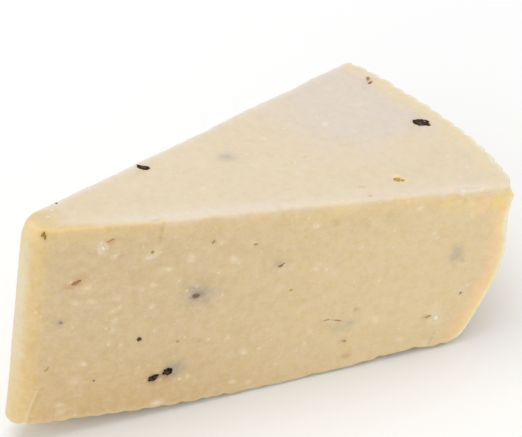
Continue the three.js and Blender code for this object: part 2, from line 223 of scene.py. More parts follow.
def polar(points):
    """Radius and angle of each point round the wheel's axis."""
    return np.hypot(points[:, 0], points[:, 1]), np.arctan2(points[:, 1], points[:, 0])


class SectionCurve:
    """A smooth curve through a few points of the wheel's section, read by share of its length."""

    def __init__(self, points, samples=40):
        points = np.array(points, float)
        padded = np.vstack([points[:1], points, points[-1:]])
        drawn = []
        for i in range(len(points) - 1):
            before, start, end, after = padded[i:i + 4]
            t = np.linspace(0, 1, samples, endpoint=False)[:, None]
            drawn.append(
                0.5 * (2 * start + (end - before) * t
                       + (2 * before - 5 * start + 4 * end - after) * t**2
                       + (3 * start - before - 3 * end + after) * t**3)
            )
        self.drawn = np.vstack(drawn + [points[-1:]])
        lengths = np.linalg.norm(np.diff(self.drawn, axis=0), axis=1)
        self.share = np.concatenate([[0], np.cumsum(lengths)]) / lengths.sum()

    def at(self, share):
        radius = np.interp(share, self.share, self.drawn[:, 0])
        height = np.interp(share, self.share, self.drawn[:, 1])
        return np.stack([radius, height], axis=-1)


UNDERSIDE = SectionCurve([
    (TIP_RADIUS - 0.8, -WHEEL_HEIGHT),
    (30, -WHEEL_HEIGHT),
    (60, 0.9 - WHEEL_HEIGHT),
    (90, 3.8 - WHEEL_HEIGHT),
    (114, 7.5 - WHEEL_HEIGHT),
    (125, 9.4 - WHEEL_HEIGHT),
    (LOWER_CORNER_RADIUS, -RIM_HEIGHT),
])
RIND = SectionCurve([
    (LOWER_CORNER_RADIUS, -RIM_HEIGHT),
    (WHEEL_RADIUS - 9, -47.8),
    (WHEEL_RADIUS - 6.1, -42.4),
    (WHEEL_RADIUS - 3.4, -35.6),
    (WHEEL_RADIUS - 0.6, -27.5),
    (WHEEL_RADIUS, -20.5),
    (WHEEL_RADIUS - 0.8, -13.4),
    (WHEEL_RADIUS - 1, -8.8),
    (RIM_LIP_RADIUS, -4.4),
    (TOP_CORNER_RADIUS, 0),
])
TIP_EDGE = SectionCurve([
    (TIP_RADIUS - 0.8, -WHEEL_HEIGHT),
    (TIP_RADIUS - 0.5, -50),
    (TIP_RADIUS - 0.1, -24),
    (TIP_RADIUS + 0.15, -6),
    (TIP_RADIUS + 0.65, -2.4),
    (TIP_RADIUS + 1.8, 0),
])
TOP_FACE = SectionCurve([(TIP_RADIUS + 1.8, 0), (TOP_CORNER_RADIUS, 0)])


def section_point(along, up):
    """Radius and height inside the section: along runs from tip to rind, up from low to high."""
    along_by = along[:, None]
    up_by = up[:, None]
    upward = (1 - up_by) * UNDERSIDE.at(along) + up_by * TOP_FACE.at(along)
    outward = (1 - along_by) * TIP_EDGE.at(up) + along_by * RIND.at(up)
    low = (1 - along_by) * UNDERSIDE.drawn[0] + along_by * RIND.drawn[0]
    high = (1 - along_by) * TOP_FACE.drawn[0] + along_by * TOP_FACE.drawn[-1]
    return upward + outward - (1 - up_by) * low - up_by * high


def rind_radius(height):
    """Radius of the smooth rind at each height."""
    order = np.argsort(RIND.drawn[:, 1])
    return np.interp(height, RIND.drawn[order, 1], RIND.drawn[order, 0])


def rim_swell(angle, height):
    """How far the rim swells out at each turn round the wheel and each height."""
    fading = 1 - smooth_step(-height, *SWELL_FADE)
    return RIM_SWELL * bell(angle - SWELL_ANGLE, SWELL_WIDTH) * fading


def underside_height(radius):
    """Height of the smooth underside at each radius."""
    return np.interp(radius, UNDERSIDE.drawn[:, 0], UNDERSIDE.drawn[:, 1])


WAVE_LENGTHS = (61, 43, 29, 21, 15)


def surface_wave(points):
    """Slow waves of a knife-cut, hand-turned surface, from -1 to 1."""
    total = np.zeros(len(points))
    for index, length in enumerate(WAVE_LENGTHS):
        turn = 1.1 + 2.4 * index
        across = points[:, 0] * math.cos(turn) + points[:, 1] * math.sin(turn)
        rise = points[:, 2] * math.cos(turn * 1.7)
        total += np.sin(2 * math.pi * (across + rise) / length + turn)
    return total / len(WAVE_LENGTHS)


def noise_at(points, size, shift=0.0):
    """Smooth noise from -1 to 1 at each point, with lumps of about the given size in mm."""
    offset = Vector((shift, 2.3 * shift, -1.7 * shift))
    values = [noise.noise(Vector(point) / size + offset) for point in points.tolist()]
    return np.array(values)


def noise_layers(points, layers):
    """Layers of noise added up, each with its strength, the size of its lumps and its shift."""
    return sum(strength * noise_at(points, size, shift) for strength, size, shift in layers)


def grid_line(share, count, edge):
    """Moves evenly spread grid lines so that some of them fall inside each rounded edge."""
    index = np.rint(share * count)
    from_end = np.minimum(index, count - index)
    middle = (index - ROUNDING_LINES) / (count - 2 * ROUNDING_LINES)
    inside = edge + middle * (1 - 2 * edge)
    rounded = from_end * edge / ROUNDING_LINES
    rounded = np.where(index < count / 2, rounded, 1 - rounded)
    return np.where(from_end >= ROUNDING_LINES, inside, rounded)


def gridded_box():
    """A unit box in a bmesh, cut into the grid that the wedge is bent from."""
    box = bmesh.new()
    bmesh.ops.create_cube(box, size=1)
    for axis, count in enumerate(STEPS):
        along_axis = [
            edge for edge in box.edges
            if abs(edge.verts[0].co[axis] - edge.verts[1].co[axis]) > 0.5
        ]
        bmesh.ops.subdivide_edges(box, edges=along_axis, cuts=count - 1, use_grid_fill=True)
    return box


def turned(vectors, angles):
    """Vectors of the section's plane turned round the wheel's axis."""
    x, y, z = vectors.T
    cosine, sine = np.cos(angles), np.sin(angles)
    return np.stack([x * cosine - y * sine, x * sine + y * cosine, z], axis=1)


def wear_corner(radius, angle, wall):
    """Pulls the upright corner between the rind and the back cut in to its worn, round shape."""
    inward = np.stack([
        WORN_CORNER_ROUNDING - (wall - radius),
        WORN_CORNER_ROUNDING - (HALF_ANGLE - angle) * radius - CUT_OFFSET,
    ], axis=1)
    length = np.linalg.norm(inward, axis=1)
    worn = (inward > 0).all(axis=1) & (length > WORN_CORNER_ROUNDING)
    inward *= (WORN_CORNER_ROUNDING / np.maximum(length, WORN_CORNER_ROUNDING))[:, None]
    worn_radius = wall - WORN_CORNER_ROUNDING + inward[:, 0]
    worn_angle = HALF_ANGLE - (WORN_CORNER_ROUNDING - inward[:, 1] - CUT_OFFSET) / worn_radius
    return np.where(worn, worn_radius, radius), np.where(worn, worn_angle, angle)


def tip_nose(height):
    """Plan radius and centre of the tip's round nose at each height."""
    nearest = np.interp(height, TIP_EDGE.drawn[:, 1], TIP_EDGE.drawn[:, 0])
    sine = math.sin(HALF_ANGLE)
    nose_radius = (nearest * sine + CUT_OFFSET) / (1 - sine)
    return nose_radius, nearest + nose_radius


def round_tip(radius, angle, height, inset):
    """Pulls the corners of the tip in to its round nose, which meets both cuts smoothly."""
    nose_radius, centre = tip_nose(height)
    away_x = radius * np.cos(angle) - centre
    away_y = radius * np.sin(angle)
    length = np.hypot(away_x, away_y)
    reach = nose_radius - inset
    outside = (length > reach) & (-away_x > math.sin(HALF_ANGLE) * length)
    x = np.where(outside, centre + away_x * reach / length, radius * np.cos(angle))
    y = np.where(outside, away_y * reach / length, radius * np.sin(angle))
    return np.hypot(x, y), np.arctan2(y, x)


def bend_to_wedge(grid):
    """Places the unit box's points in the wheel's frame."""
    along_edge = EDGE_ROUNDING / (WHEEL_RADIUS - TIP_RADIUS)
    up_edge = EDGE_ROUNDING / WHEEL_HEIGHT
    along = grid_line(grid[:, 0] + 0.5, STEPS[0], along_edge)
    side = 2 * grid_line(grid[:, 1] + 0.5, STEPS[1], ROUNDED_SHARE_AROUND) - 1
    up = grid_line(grid[:, 2] + 0.5, STEPS[2], up_edge)
    outer = section_point(along, up)
    inner = section_point(
        np.clip(along, along_edge, 1 - along_edge), np.clip(up, up_edge, 1 - up_edge)
    )
    flat_part = 1 - 2 * ROUNDED_SHARE_AROUND
    inner_side = np.clip(side / flat_part, -1, 1)
    inner_arc = inner_side * (outer[:, 0] * HALF_ANGLE + CUT_OFFSET - EDGE_ROUNDING)
    overshoot = np.maximum(0, (np.abs(side) - flat_part) / (1 - flat_part))
    sideways = np.sign(side) * overshoot * EDGE_ROUNDING
    outward = np.stack([outer[:, 0] - inner[:, 0], sideways, outer[:, 1] - inner[:, 1]], axis=1)
    outward /= np.linalg.norm(outward, axis=1)[:, None]
    radius = inner[:, 0] + EDGE_ROUNDING * outward[:, 0]
    angle = (inner_arc + EDGE_ROUNDING * outward[:, 1]) / radius
    radius = radius + rim_swell(angle, outer[:, 1]) * along ** SWELL_SHARPNESS
    radius, angle = wear_corner(radius, angle, RIND.at(up)[:, 0])
    inset = EDGE_ROUNDING * (1 - np.hypot(outward[:, 0], outward[:, 1]))
    radius, angle = round_tip(radius, angle, outer[:, 1], inset)
    sag = TOP_SAG * up * np.sin(math.pi * along) * (0.5 + 0.5 * side)
    height = inner[:, 1] + EDGE_ROUNDING * outward[:, 2] - sag
    return turned(np.stack([radius, 0 * radius, height], axis=1), angle)


def mark_profile(share):
    """Depth of a mark below the crest: share runs from one sharp valley to the next."""
    return (1 - np.sin(math.pi * share)) ** 1.5


def vary(draw, spread):
    """A random amount between minus and plus the given spread."""
    return spread * (2 * draw() - 1)


def mould_marks():
    """The ribs as (angle, depth) and the rings as (radius, depth), drawn as in the solid."""
    draw = random_source(7)
    ribs = math.ceil((2 * HALF_ANGLE + 2 * MOULD_OVERREACH) / RIB_PITCH)
    rib_starts, rib_depths = [], []
    for rib in range(ribs):
        rib_starts.append((rib - ribs / 2 + vary(draw, MARK_WANDER)) * RIB_PITCH)
        rib_depths.append(RIB_DEPTH * (1 + vary(draw, DEPTH_WANDER)))
    ring_starts, ring_depths = [], []
    radius = RING_FIRST_RADIUS
    while radius < LOWER_CORNER_RADIUS:
        pitch = (RING_PITCH_INNER + RING_PITCH_GAIN * radius) * (1 + vary(draw, MARK_WANDER))
        worn = WORN_DEPTH_SHARE if WORN_FROM < radius < WORN_TO else 1
        ring_starts.append(radius)
        ring_depths.append(RING_DEPTH * worn * (1 + vary(draw, DEPTH_WANDER)))
        radius += pitch
    return (rib_starts, rib_depths), (ring_starts, ring_depths)


def mark_depth(places, starts, depths):
    """Depth of the mould's marks at each place, for marks that start at the given places."""
    starts = np.array(starts)
    index = np.clip(np.searchsorted(starts, places) - 1, 0, len(starts) - 2)
    share = (places - starts[index]) / (starts[index + 1] - starts[index])
    near = np.array(depths)[index]
    far = np.array(depths)[index + 1]
    share = np.clip(share, 0, 1)
    return (near + (far - near) * share) * mark_profile(share)


def press_mould(points):
    """Presses the basket's ribs into the rind and its rings into the underside. Returns the
    points and how deep in a valley each one is, from 0 to about 1."""
    (rib_starts, rib_depths), (ring_starts, ring_depths) = mould_marks()
    radius, angle = polar(points)
    height = points[:, 2]
    wall = rind_radius(height) + rim_swell(angle, height)
    near_wall = np.clip(1 - (wall - radius) / MARK_REACH, 0, 1) ** 2
    near_floor = np.clip(1 - (height - underside_height(radius)) / MARK_REACH, 0, 1) ** 2
    ribs = mark_depth(angle, rib_starts, rib_depths) * near_wall
    ribs *= 1 + RIM_RIB_GAIN * smooth_step(height, *RIM_RIB_RISE)
    rings = mark_depth(radius, ring_starts, ring_depths) * near_floor
    pressed = turned(np.stack([radius - ribs, 0 * radius, height + rings], axis=1), angle)
    return pressed, np.maximum(ribs / RIB_DEPTH, rings / RING_DEPTH)


# The faces that a mark or a grain of pepper can lie on: the turn of its radial line from the
# middle of the wedge, whether the face is upright, and which way it faces
FACES = {
    "front": (-HALF_ANGLE, True, -1),
    "back": (HALF_ANGLE, True, 1),
    "top": (0.0, False, 1),
}


def face_frame(face, along, across):
    """A place on a face, in the wheel's frame: radial, second and normal directions, and the
    point. Across is the depth below the top face, or on the top face the way to the back cut."""
    turn, upright, outward = FACES[face]
    radial = np.array([math.cos(turn), math.sin(turn), 0])
    sideways = np.array([-math.sin(turn), math.cos(turn), 0])
    vertical = np.array([0.0, 0.0, 1.0])
    normal = sideways * outward if upright else vertical
    origin = radial * along - vertical * across if upright else radial * along + sideways * across
    nose_radius, centre = tip_nose(origin[2])
    if upright and along < centre * math.cos(HALF_ANGLE):
        middle = np.array([centre, 0, origin[2]])
        normal = (origin - middle) / np.linalg.norm(origin - middle)
        radial = np.cross(vertical, normal) * -outward
        origin = middle + normal * nose_radius
    elif upright:
        origin = origin + normal * CUT_OFFSET
    second = np.cross(normal, radial)
    lift = UNEVENNESS * surface_wave(origin[None, :])[0]
    if not upright:
        share = (along - TIP_RADIUS) / (TOP_CORNER_RADIUS - TIP_RADIUS)
        side = math.atan2(origin[1], origin[0]) / HALF_ANGLE
        lift -= TOP_SAG * math.sin(math.pi * share) * (0.5 + 0.5 * side)
    return radial, second, normal, origin + normal * lift


# Pepper in the paste: face, along, across, length, width and turn in degrees, in millimetres,
# and how dark it is
CRACKED_CORNS = [
    ("top", 141.9, -0.1, 4.6, 3.6, -58, 1.0),
    ("top", 57.3, 12.4, 3.1, 1.9, -56, 1.0),
    ("front", 50.7, 49.8, 2.5, 1.45, 28, 1.0),
    ("front", 54.6, 48.3, 2.2, 1.9, 42, 1.0),
    ("back", 38.5, 33.0, 3.1, 2.6, 10, 0.9),
    ("back", 61.5, 46.0, 2.7, 1.6, -35, 1.0),
    ("back", 97.0, 41.5, 2.2, 1.8, 60, 0.8),
    ("back", 111.5, 22.0, 3.3, 2.9, 25, 1.0),
]
RIM_HUSKS = [
    ("top", 143.0, 26.8, 2.7, 1.2, 62, 0.45),
    ("top", 142.1, 24.5, 2.1, 0.9, 25, 1.00),
]
HUSKS = [
    ("back", 129.5, 36.0, 2.6, 0.8, -20, 0.6),
    ("back", 88.5, 13.2, 3.6, 0.7, 15, 0.8),
    ("front", 26.9, 16.3, 2.2, 0.75, 27, 0.6),
    ("front", 35.0, 4.4, 2.2, 0.35, 25, 0.15),
    ("front", 83.5, 17.8, 1.8, 0.55, 32, 0.55),
    ("front", 99.3, 37.3, 2.0, 0.28, 12, 0.4),
    ("front", 102.6, 37.9, 1.6, 0.28, -14, 0.3),
    ("front", 105.5, 45.2, 0.9, 0.6, 0, 0.15),
    ("back", 22.0, 12.0, 2.4, 0.9, 40, 0.7),
]
DOTS = [
    ("front", 60.2, 24.6, 1.4, 1.1, 20, 0.6),
    ("front", 23.6, 28.4, 0.8, 0.5, 0, 0.08),
    ("front", 45.7, 36.5, 1.0, 0.95, 0, 1.0),
    ("front", 138.4, 33.4, 0.8, 0.5, 40, 0.15),
    ("front", 34.1, 48.2, 0.5, 0.5, 0, 0.35),
    ("back", 104.0, 30.5, 0.6, 0.5, 0, 0.7),
    ("top", 26.8, 6.4, 0.5, 0.4, 0, 0.8),
    ("back", 52.0, 9.5, 1.3, 1.0, 0, 0.9),
    ("back", 74.0, 26.5, 1.2, 1.1, 0, 1.0),
    ("back", 122.0, 8.5, 1.1, 0.9, 0, 0.7),
    ("back", 139.0, 17.0, 1.2, 1.0, 0, 0.8),
]
OLIVE_BITS = [
    ("top", 116.9, -22.1, 3.0, 2.0, -32, 0.5),
    ("front", 16.9, 1.0, 1.2, 0.35, 62, 0.8),
    ("front", 17.5, 1.5, 1.5, 0.40, 108, 0.8),
    ("front", 129.6, 40.2, 1.6, 0.45, 12, 0.15),
    ("front", 20.8, 42.8, 1.5, 0.4, 55, 0.4),
    ("front", 56.6, 38.7, 0.8, 0.7, 0, 0.3),
    ("front", 63.4, 8.0, 1.0, 0.4, 60, 0.4),
    ("front", 75.5, 10.3, 0.9, 0.4, -10, 0.3),
    ("front", 87.3, 26.1, 0.7, 0.5, 0, 0.3),
    ("front", 46.9, 9.3, 0.8, 0.6, 70, 0.5),
]
ALL_PEPPER = CRACKED_CORNS + RIM_HUSKS + HUSKS + DOTS + OLIVE_BITS

# How a lump's middle line bends, how it narrows to its ends, and more to one of them
LUMP_BEND = 0.22
LUMP_TAPER = 0.40
LUMP_LEAN = 0.2

# Pale salt and tyrosine crystals and crumbs that show on the front, measured one by one: along,
# depth and size
FRONT_CRYSTALS = [
    (32.6, 4.7, 0.9), (33.3, 6.4, 1.2), (32.5, 7.7, 0.8), (33.9, 5.6, 0.7), (36.6, 9.1, 0.8),
    (52.7, 5.3, 0.6), (45.9, 10.9, 0.9), (48.2, 10.2, 0.5), (65.6, 8.8, 0.5), (65.8, 17.8, 0.7),
    (67.7, 25.2, 0.6), (48.2, 26.6, 0.7), (37.4, 26.6, 0.7), (38.1, 29.5, 0.6), (37.9, 32.4, 0.7),
    (39.2, 25.4, 0.5), (60.1, 21.4, 0.5), (71.3, 15.6, 0.6), (94.8, 40.6, 0.6), (93.3, 44.0, 0.7),
    (114.2, 39.5, 0.7), (137.9, 32.1, 0.5), (138.0, 34.6, 0.5), (132.1, 40.8, 2.2),
    (131.3, 40.0, 0.8), (65.2, 39.1, 0.6), (70.7, 39.3, 0.6), (80.3, 44.1, 0.6), (85.8, 50.2, 0.6),
    (60.6, 50.6, 0.6), (117.7, 1.7, 0.6), (121.4, 3.6, 0.8), (106.2, 14.6, 0.6), (115.5, 15.8, 0.5),
    (105.5, 25.5, 0.6), (113.0, 26.3, 0.5), (127.1, 12.7, 0.8), (142.6, 13.4, 0.7),
    (26.9, 30.4, 0.5), (55.0, 19.0, 0.5), (37.2, 37.0, 0.6), (40.5, 37.6, 0.5), (12.8, 38.0, 0.9),
]
# How many more crystals are strewn over each face, and their sizes
STREWN = {"front": 45, "back": 95, "top": 85}
STREWN_SIZES = (0.30, 0.85)

# Soft spots in the paste, by face and colour: along, across, length, width, turn and strength.
# Where spots overlap, the later ones lie on top.
SOFT_SPOTS = [
    ("front", BLUE_GREY, [
        (60.8, 23.9, 10.0, 8.4, 10, 0.64), (83.0, 17.2, 6.0, 4.6, 20, 0.32),
        (135.0, 20.2, 5.2, 7.0, 0, 0.46), (103.6, 40.5, 7.0, 4.2, 8, 0.27),
        (106.0, 39.0, 4.0, 2.4, 0, 0.30), (56.4, 47.6, 7.6, 5.4, 30, 0.80),
    ]),
    ("front", LILAC, [
        (61.2, 24.4, 4.0, 3.2, 10, 0.70), (23.3, 28.3, 3.8, 2.6, 10, 0.85), (62.9, 38.8, 1.1, 1.0, 0, 0.80),
    ]),
    ("front", BROWN, [
        (60.3, 24.4, 2.8, 2.2, 0, 0.90), (137.0, 22.6, 1.4, 1.2, -40, 0.60),
    ]),
    ("front", SMEAR_PINK, [
        (83.8, 19.2, 3.6, 2.4, 0, 0.62), (130.2, 49.0, 4.0, 2.6, 0, 0.50),
    ]),
    ("front", RUST, [
        (54.0, 50.6, 4.6, 2.6, 0, 0.30), (26.6, 16.6, 6.4, 3.6, 20, 0.85), (35.2, 4.7, 4.4, 1.9, 25, 0.62),
        (75.5, 10.3, 1.6, 1.2, 0, 0.80), (104.4, 44.8, 2.4, 1.5, 0, 0.65), (95.0, 43.4, 1.2, 1.0, 0, 0.35),
        (106.3, 50.2, 3.0, 1.6, 0, 0.75), (36.5, 55.0, 1.3, 0.9, 0, 0.35),
    ]),
    ("front", BROWN, [
        (50.7, 49.9, 4.8, 3.4, 28, 0.90), (54.4, 48.7, 4.0, 3.6, 42, 0.90), (45.7, 36.5, 1.9, 1.8, 0, 0.60),
    ]),
    # The amber spot under the crest at 134.9 is a painted shadow beneath a pale flake
    ("front", AMBER, [
        (17.0, 1.4, 2.2, 3.0, 0, 0.45), (134.9, 3.2, 1.3, 2.8, 18, 0.75),
    ]),
    ("front", CREST_OLIVE, [(48.7, 3.6, 1.5, 6.4, -8, 0.55)]),
    ("front", SMEAR, [(46.5, 10.0, 4.6, 2.6, 25, 0.60)]),
    ("front", OLIVE, [
        (46.8, 9.5, 1.5, 2.0, 0, 0.45), (63.4, 8.0, 1.6, 1.2, 0, 0.80), (87.3, 26.1, 1.3, 1.1, 0, 0.90),
        (91.8, 29.8, 1.0, 1.6, 0, 0.70), (107.5, 35.0, 1.5, 1.3, 0, 0.70),
        (128.4, 40.2, 2.6, 1.4, 12, 0.50),
    ]),
    # Yellow spots that deepen the band under the crest, partly painted glow of light through the edge
    ("front", BRIGHT_YELLOW, [
        (97.4, 2.2, 9.0, 5.0, 0, 0.32), (103.0, 1.8, 8.0, 3.4, 0, 0.30), (129.6, 3.0, 7.0, 3.0, 0, 0.70),
        (136.4, 3.0, 2.6, 3.4, 0, 0.75),
    ]),
    ("front", CREST_OLIVE, [
        (97.2, 5.6, 4.0, 2.2, -30, 0.60), (98.0, 9.4, 1.6, 4.0, 0, 0.45), (104.9, 6.4, 3.2, 4.2, 0, 0.50),
        (113.6, 6.0, 3.6, 3.8, 20, 0.42),
    ]),
    ("front", SMEAR, [
        (133.9, 0.4, 1.6, 3.4, 0, 0.50), (137.2, 4.6, 3.0, 2.4, 20, 0.45), (92.0, 6.0, 2.6, 2.0, 0, 0.90),
        (29.9, 18.2, 3.4, 2.0, 30, 0.70), (25.4, 16.0, 1.8, 1.6, 0, 0.62), (45.0, 21.0, 2.2, 1.8, 0, 0.46),
        (30.8, 42.6, 2.0, 1.8, 0, 0.78), (25.2, 55.0, 2.4, 1.8, 0, 0.70), (25.4, 57.4, 2.2, 1.6, 0, 0.62),
        (51.9, 15.2, 2.4, 2.0, 0, 0.78), (57.6, 12.4, 2.4, 2.0, 0, 0.78), (69.6, 14.2, 2.4, 2.0, 0, 0.70),
        (93.9, 20.2, 2.4, 2.2, 0, 0.54), (75.8, 44.7, 2.6, 2.0, 0, 0.70), (73.7, 54.4, 2.8, 1.8, 10, 0.70),
        (78.7, 55.0, 2.2, 1.6, 0, 0.62), (52.5, 58.2, 3.6, 2.0, 14, 0.90), (122.3, 46.6, 2.2, 1.8, 0, 0.54),
        (113.4, 38.9, 2.6, 2.0, 0, 0.62),
    ]),
    ("front", SMEAR_PINK, [
        (132.6, 3.4, 2.4, 2.4, 0, 0.50), (26.9, 22.3, 2.2, 1.8, 0, 0.78), (31.4, 22.9, 2.6, 2.2, 0, 0.62),
        (38.5, 22.6, 2.4, 2.0, 0, 0.54), (29.0, 47.6, 3.6, 2.2, 20, 0.54), (48.0, 19.5, 2.4, 2.0, 0, 0.62),
        (41.2, 19.9, 2.2, 1.9, 0, 0.54), (131.0, 37.0, 4.0, 2.6, 30, 0.46),
    ]),
    ("front", RIND_PEACH, [(140.8, 4.8, 6.6, 6.0, 0, 0.75)]),
    # Yellow spots that deepen the band under the crest and its corner, partly painted glow of light through
    # the edge
    ("front", BRIGHT_YELLOW, [
        (144.9, 4.4, 5.6, 7.0, 0, 0.95), (120.0, 1.8, 10.0, 3.0, 0, 0.36),
    ]),
    ("front", RIND_PEACH, [(139.0, 6.2, 6.0, 4.4, 20, 0.45)]),
    ("front", SMEAR, [
        (137.6, 7.8, 2.4, 1.8, 0, 0.62), (121.4, 3.8, 2.0, 1.6, 0, 0.70),
    ]),
    ("top", CREST_LINE, [
        (142.4, -3.4, 5.2, 4.2, 0, 0.35), (139.6, 1.8, 4.6, 3.6, 0, 0.30),
    ]),
    ("top", LILAC_GREY, [(141.5, 0.4, 6.4, 5.2, 0, 0.50)]),
    ("top", BLUE_GREY, [(81.0, 7.6, 6.0, 5.0, 0, 0.50)]),
    ("top", RUST, [
        (57.0, 11.6, 5.0, 2.8, 15, 0.35), (142.4, 25.4, 5.0, 3.6, 30, 0.40),
    ]),
    ("top", RIND_PEACH, [(117.0, -20.4, 3.4, 2.8, -20, 0.80)]),
    ("top", BRIGHT_YELLOW, [(118.0, -22.9, 3.8, 2.0, -40, 0.90)]),
    ("top", OLIVE, [
        (104.9, -21.0, 1.8, 0.9, -30, 0.70), (104.3, -25.6, 1.6, 1.4, 0, 0.60),
        (100.0, -1.5, 2.6, 0.8, -20, 0.60),
    ]),
    ("top", SMEAR_PINK, [(104.2, -22.0, 2.0, 1.2, -30, 0.50)]),
    ("top", SMEAR, [(115.8, 10.8, 2.4, 1.4, 20, 0.70)]),
    ("top", EDGE_WHITE, [(133.0, -34.0, 14.0, 3.6, -15, 0.28)]),
    # A painted highlight that lightens the shade in the crease above the chip's hollow
    ("front", CORNER_YELLOW, [(146.5, 1.6, 9.0, 2.4, 0, 0.60)]),
    # The broad yellow spot below it is partly painted glow of light through the edge
    ("front", BRIGHT_YELLOW, [(133.5, 4.8, 13.0, 7.0, 0, 0.30)]),
    ("back", BLUE_GREY, [
        (38.5, 33.2, 5.6, 5.0, 0, 0.45), (62.2, 45.0, 5.0, 3.8, -20, 0.45),
        (111.5, 22.0, 6.0, 5.4, 0, 0.45), (70.0, 14.0, 6.0, 4.6, -20, 0.50),
        (126.0, 45.0, 5.0, 4.0, 30, 0.48),
    ]),
    ("back", LILAC, [(97.0, 41.5, 4.4, 3.8, 30, 0.50)]),
    ("back", RUST, [
        (88.5, 13.6, 5.0, 2.0, 15, 0.40), (22.2, 12.2, 4.0, 2.2, 40, 0.45),
        (129.5, 36.2, 4.4, 2.2, -20, 0.40),
    ]),
]
# Where a spot's edge lies, as a share of its size, and how ragged it is
SPOT_EDGE = 0.8
SPOT_RAGGED = 0.45
# The pale halo of a crystal: its length and width for each millimetre of the crystal, its turn
# for each millimetre along the wedge, and its strength
HALO_LENGTH = 2.6
HALO_WIDTH = 2.0
HALO_TURN = 20
HALO_STRENGTH = 0.60
# How many more pale or yellowish blotches each face has, with their sizes and strengths
BLOTCHES = {"front": 26, "back": 60, "top": 44}
BLOTCH_SIZES = (1.2, 3.4)
BLOTCH_STRENGTHS = (0.12, 0.38)
# How much calmer the grain's colours are on the top face
TOP_CALM = 0.3

# Crags where the knife tore the paste, and pits where a grain fell out: face, along, across,
# length, width, depth and turn in degrees
TEARS = [
    ("top", 131.5, -33.8, 8.5, 1.8, 0.5, -16),
    ("top", 95.5, -2.5, 2.2, 1.4, 0.5, 40),
    ("top", 46.0, -11.6, 3.6, 1.1, 0.6, -14),
    ("front", 33.3, 6.6, 3.0, 1.8, 0.12, 10),
    ("front", 46.4, 10.1, 2.4, 1.0, 0.1, 25),
    ("front", 129.6, 40.2, 2.4, 1.0, 0.3, 10),
    ("front", 131.9, 47.6, 3.6, 0.6, 0.2, 50),
    ("front", 117.2, 52.7, 3.2, 2.0, 1.2, 8),
    ("front", 79.3, 58.6, 3.2, 2.0, 1.1, 5),
    ("front", 67.6, 60.0, 4.8, 2.8, 2.0, 8),
    ("back", 30.5, 58.8, 3.8, 1.9, 1.1, 5),
    ("back", 47.0, 20.5, 3.0, 1.5, 0.7, -25),
    ("back", 83.0, 34.5, 2.1, 1.2, 0.5, 60),
    ("back", 104.0, 4.2, 4.4, 1.2, 0.6, 5),
    ("back", 118.5, 51.6, 3.6, 2.0, 1.0, -10),
]

# The chip in the rim's front corner: its middle as a place on the front, and the half length,
# half height and depth of the hollow
CHIP = ("front", 151.5, -0.9)
CHIP_REACH = (3.6, 4.96, 5.6)
# How far round the chip, as a share of its reach, its rims are worn, and in how many rounds
CHIP_WEAR = 1.5
CHIP_WEAR_ROUNDS = 45

# How far the pale top colour runs down the front at each radius
CREST_RUN = [
    (14, -3.2), (20, -2.8), (27, -2.3), (32, -1.6), (38, -0.9), (45, -0.6), (53, 1.0), (63, 0.3),
    (72, 1.3), (84, 0.7), (102, 1.7), (114, 0.4), (123, 0.9), (127, 1.9), (131, 0.4), (135, 1.2),
    (140, 1.6), (144, 2.3),
]

# How far at least it runs down the back cut, and how far it keeps short of the rind
BACK_RUN = 0.9
RIM_RUN = -0.5

# How wide a groove is cut and tinted, as a share of its width
GROOVE_CUT = 0.6
GROOVE_TINT = 0.55
# Grooves and creases: face, the places that the line passes, its width and depth, and the
# strength and colour that it is painted with. A ridge has a depth below zero. The darker tints
# are partly painted shade in the hollows; the cream ridge by the tip is a painted highlight
# beside the amber painted shade of its crease, and the olive arc on the front is a husk seen
# edge-on.
GROOVES = [
    ("front", [(18.6, 49.4), (17.6, 52.4), (16.7, 56.0), (16.0, 60.0)], 0.7, -0.14, 0.60, CREAM),
    ("front", [(19.8, 49.4), (18.8, 52.6), (17.9, 56.2), (17.2, 60.0)], 1.1, 0.22, 0.50, AMBER),
    ("front", [(22.6, 42.6), (21.6, 45.6)], 0.5, 0.08, 0.30, AMBER),
    ("front", [(49.4, 0.4), (48.9, 2.6), (48.6, 5.4)], 0.7, 0.10, 0.14, OLIVE),
    ("front", [(132.6, 46.0), (131.4, 49.6)], 0.45, 0.10, 0.42, BROWN),
    ("front", [(26.0, 52.0), (25.2, 59.0)], 0.9, 0.12, 0.25, AMBER),
    ("front", [(97.4, 37.7), (99.0, 37.2), (100.6, 37.3), (102.6, 38.3), (104.6, 38.6)],
     0.35, 0.08, 0.25, OLIVE),
    ("back", [(17.4, 40.0), (19.4, 50.0), (18.6, 60.0)], 0.8, 0.28, 0.35, AMBER),
    ("back", [(70.4, 0.4), (69.8, 3.4), (70.6, 6.2)], 0.5, 0.28, 0.40, OLIVE),
    ("back", [(117.0, 9.0), (120.6, 10.4), (124.0, 9.8)], 0.5, 0.16, 0.30, OLIVE),
]


def face_offsets(points, mark):
    """How far each point is from a mark, along, across and off its face."""
    radial, second, normal, origin = face_frame(*mark[:3])
    away = points - origin
    return away @ radial, away @ second, away @ normal


def spread_from(points, mark, length, width, turn):
    """Distance of each point from a mark, counted in half lengths and half widths."""
    along, across, off = face_offsets(points, mark)
    turn = math.radians(turn)
    major = along * math.cos(turn) + across * math.sin(turn)
    minor = across * math.cos(turn) - along * math.sin(turn)
    spread = np.sqrt((major / (length / 2))**2 + (minor / (width / 2))**2)
    return np.where(np.abs(off) < OFF_FACE, spread, np.inf)


def line_distance(points, face, places):
    """Distance of each point from a line drawn on a face through the given places."""
    corners = [face_frame(face, *place)[3] for place in places]
    nearest = np.full(len(points), np.inf)
    for start, end in zip(corners, corners[1:]):
        run = end - start
        share = np.clip((points - start) @ run / (run @ run), 0, 1)
        away = points - start - share[:, None] * run
        nearest = np.minimum(nearest, np.linalg.norm(away, axis=1))
    return nearest


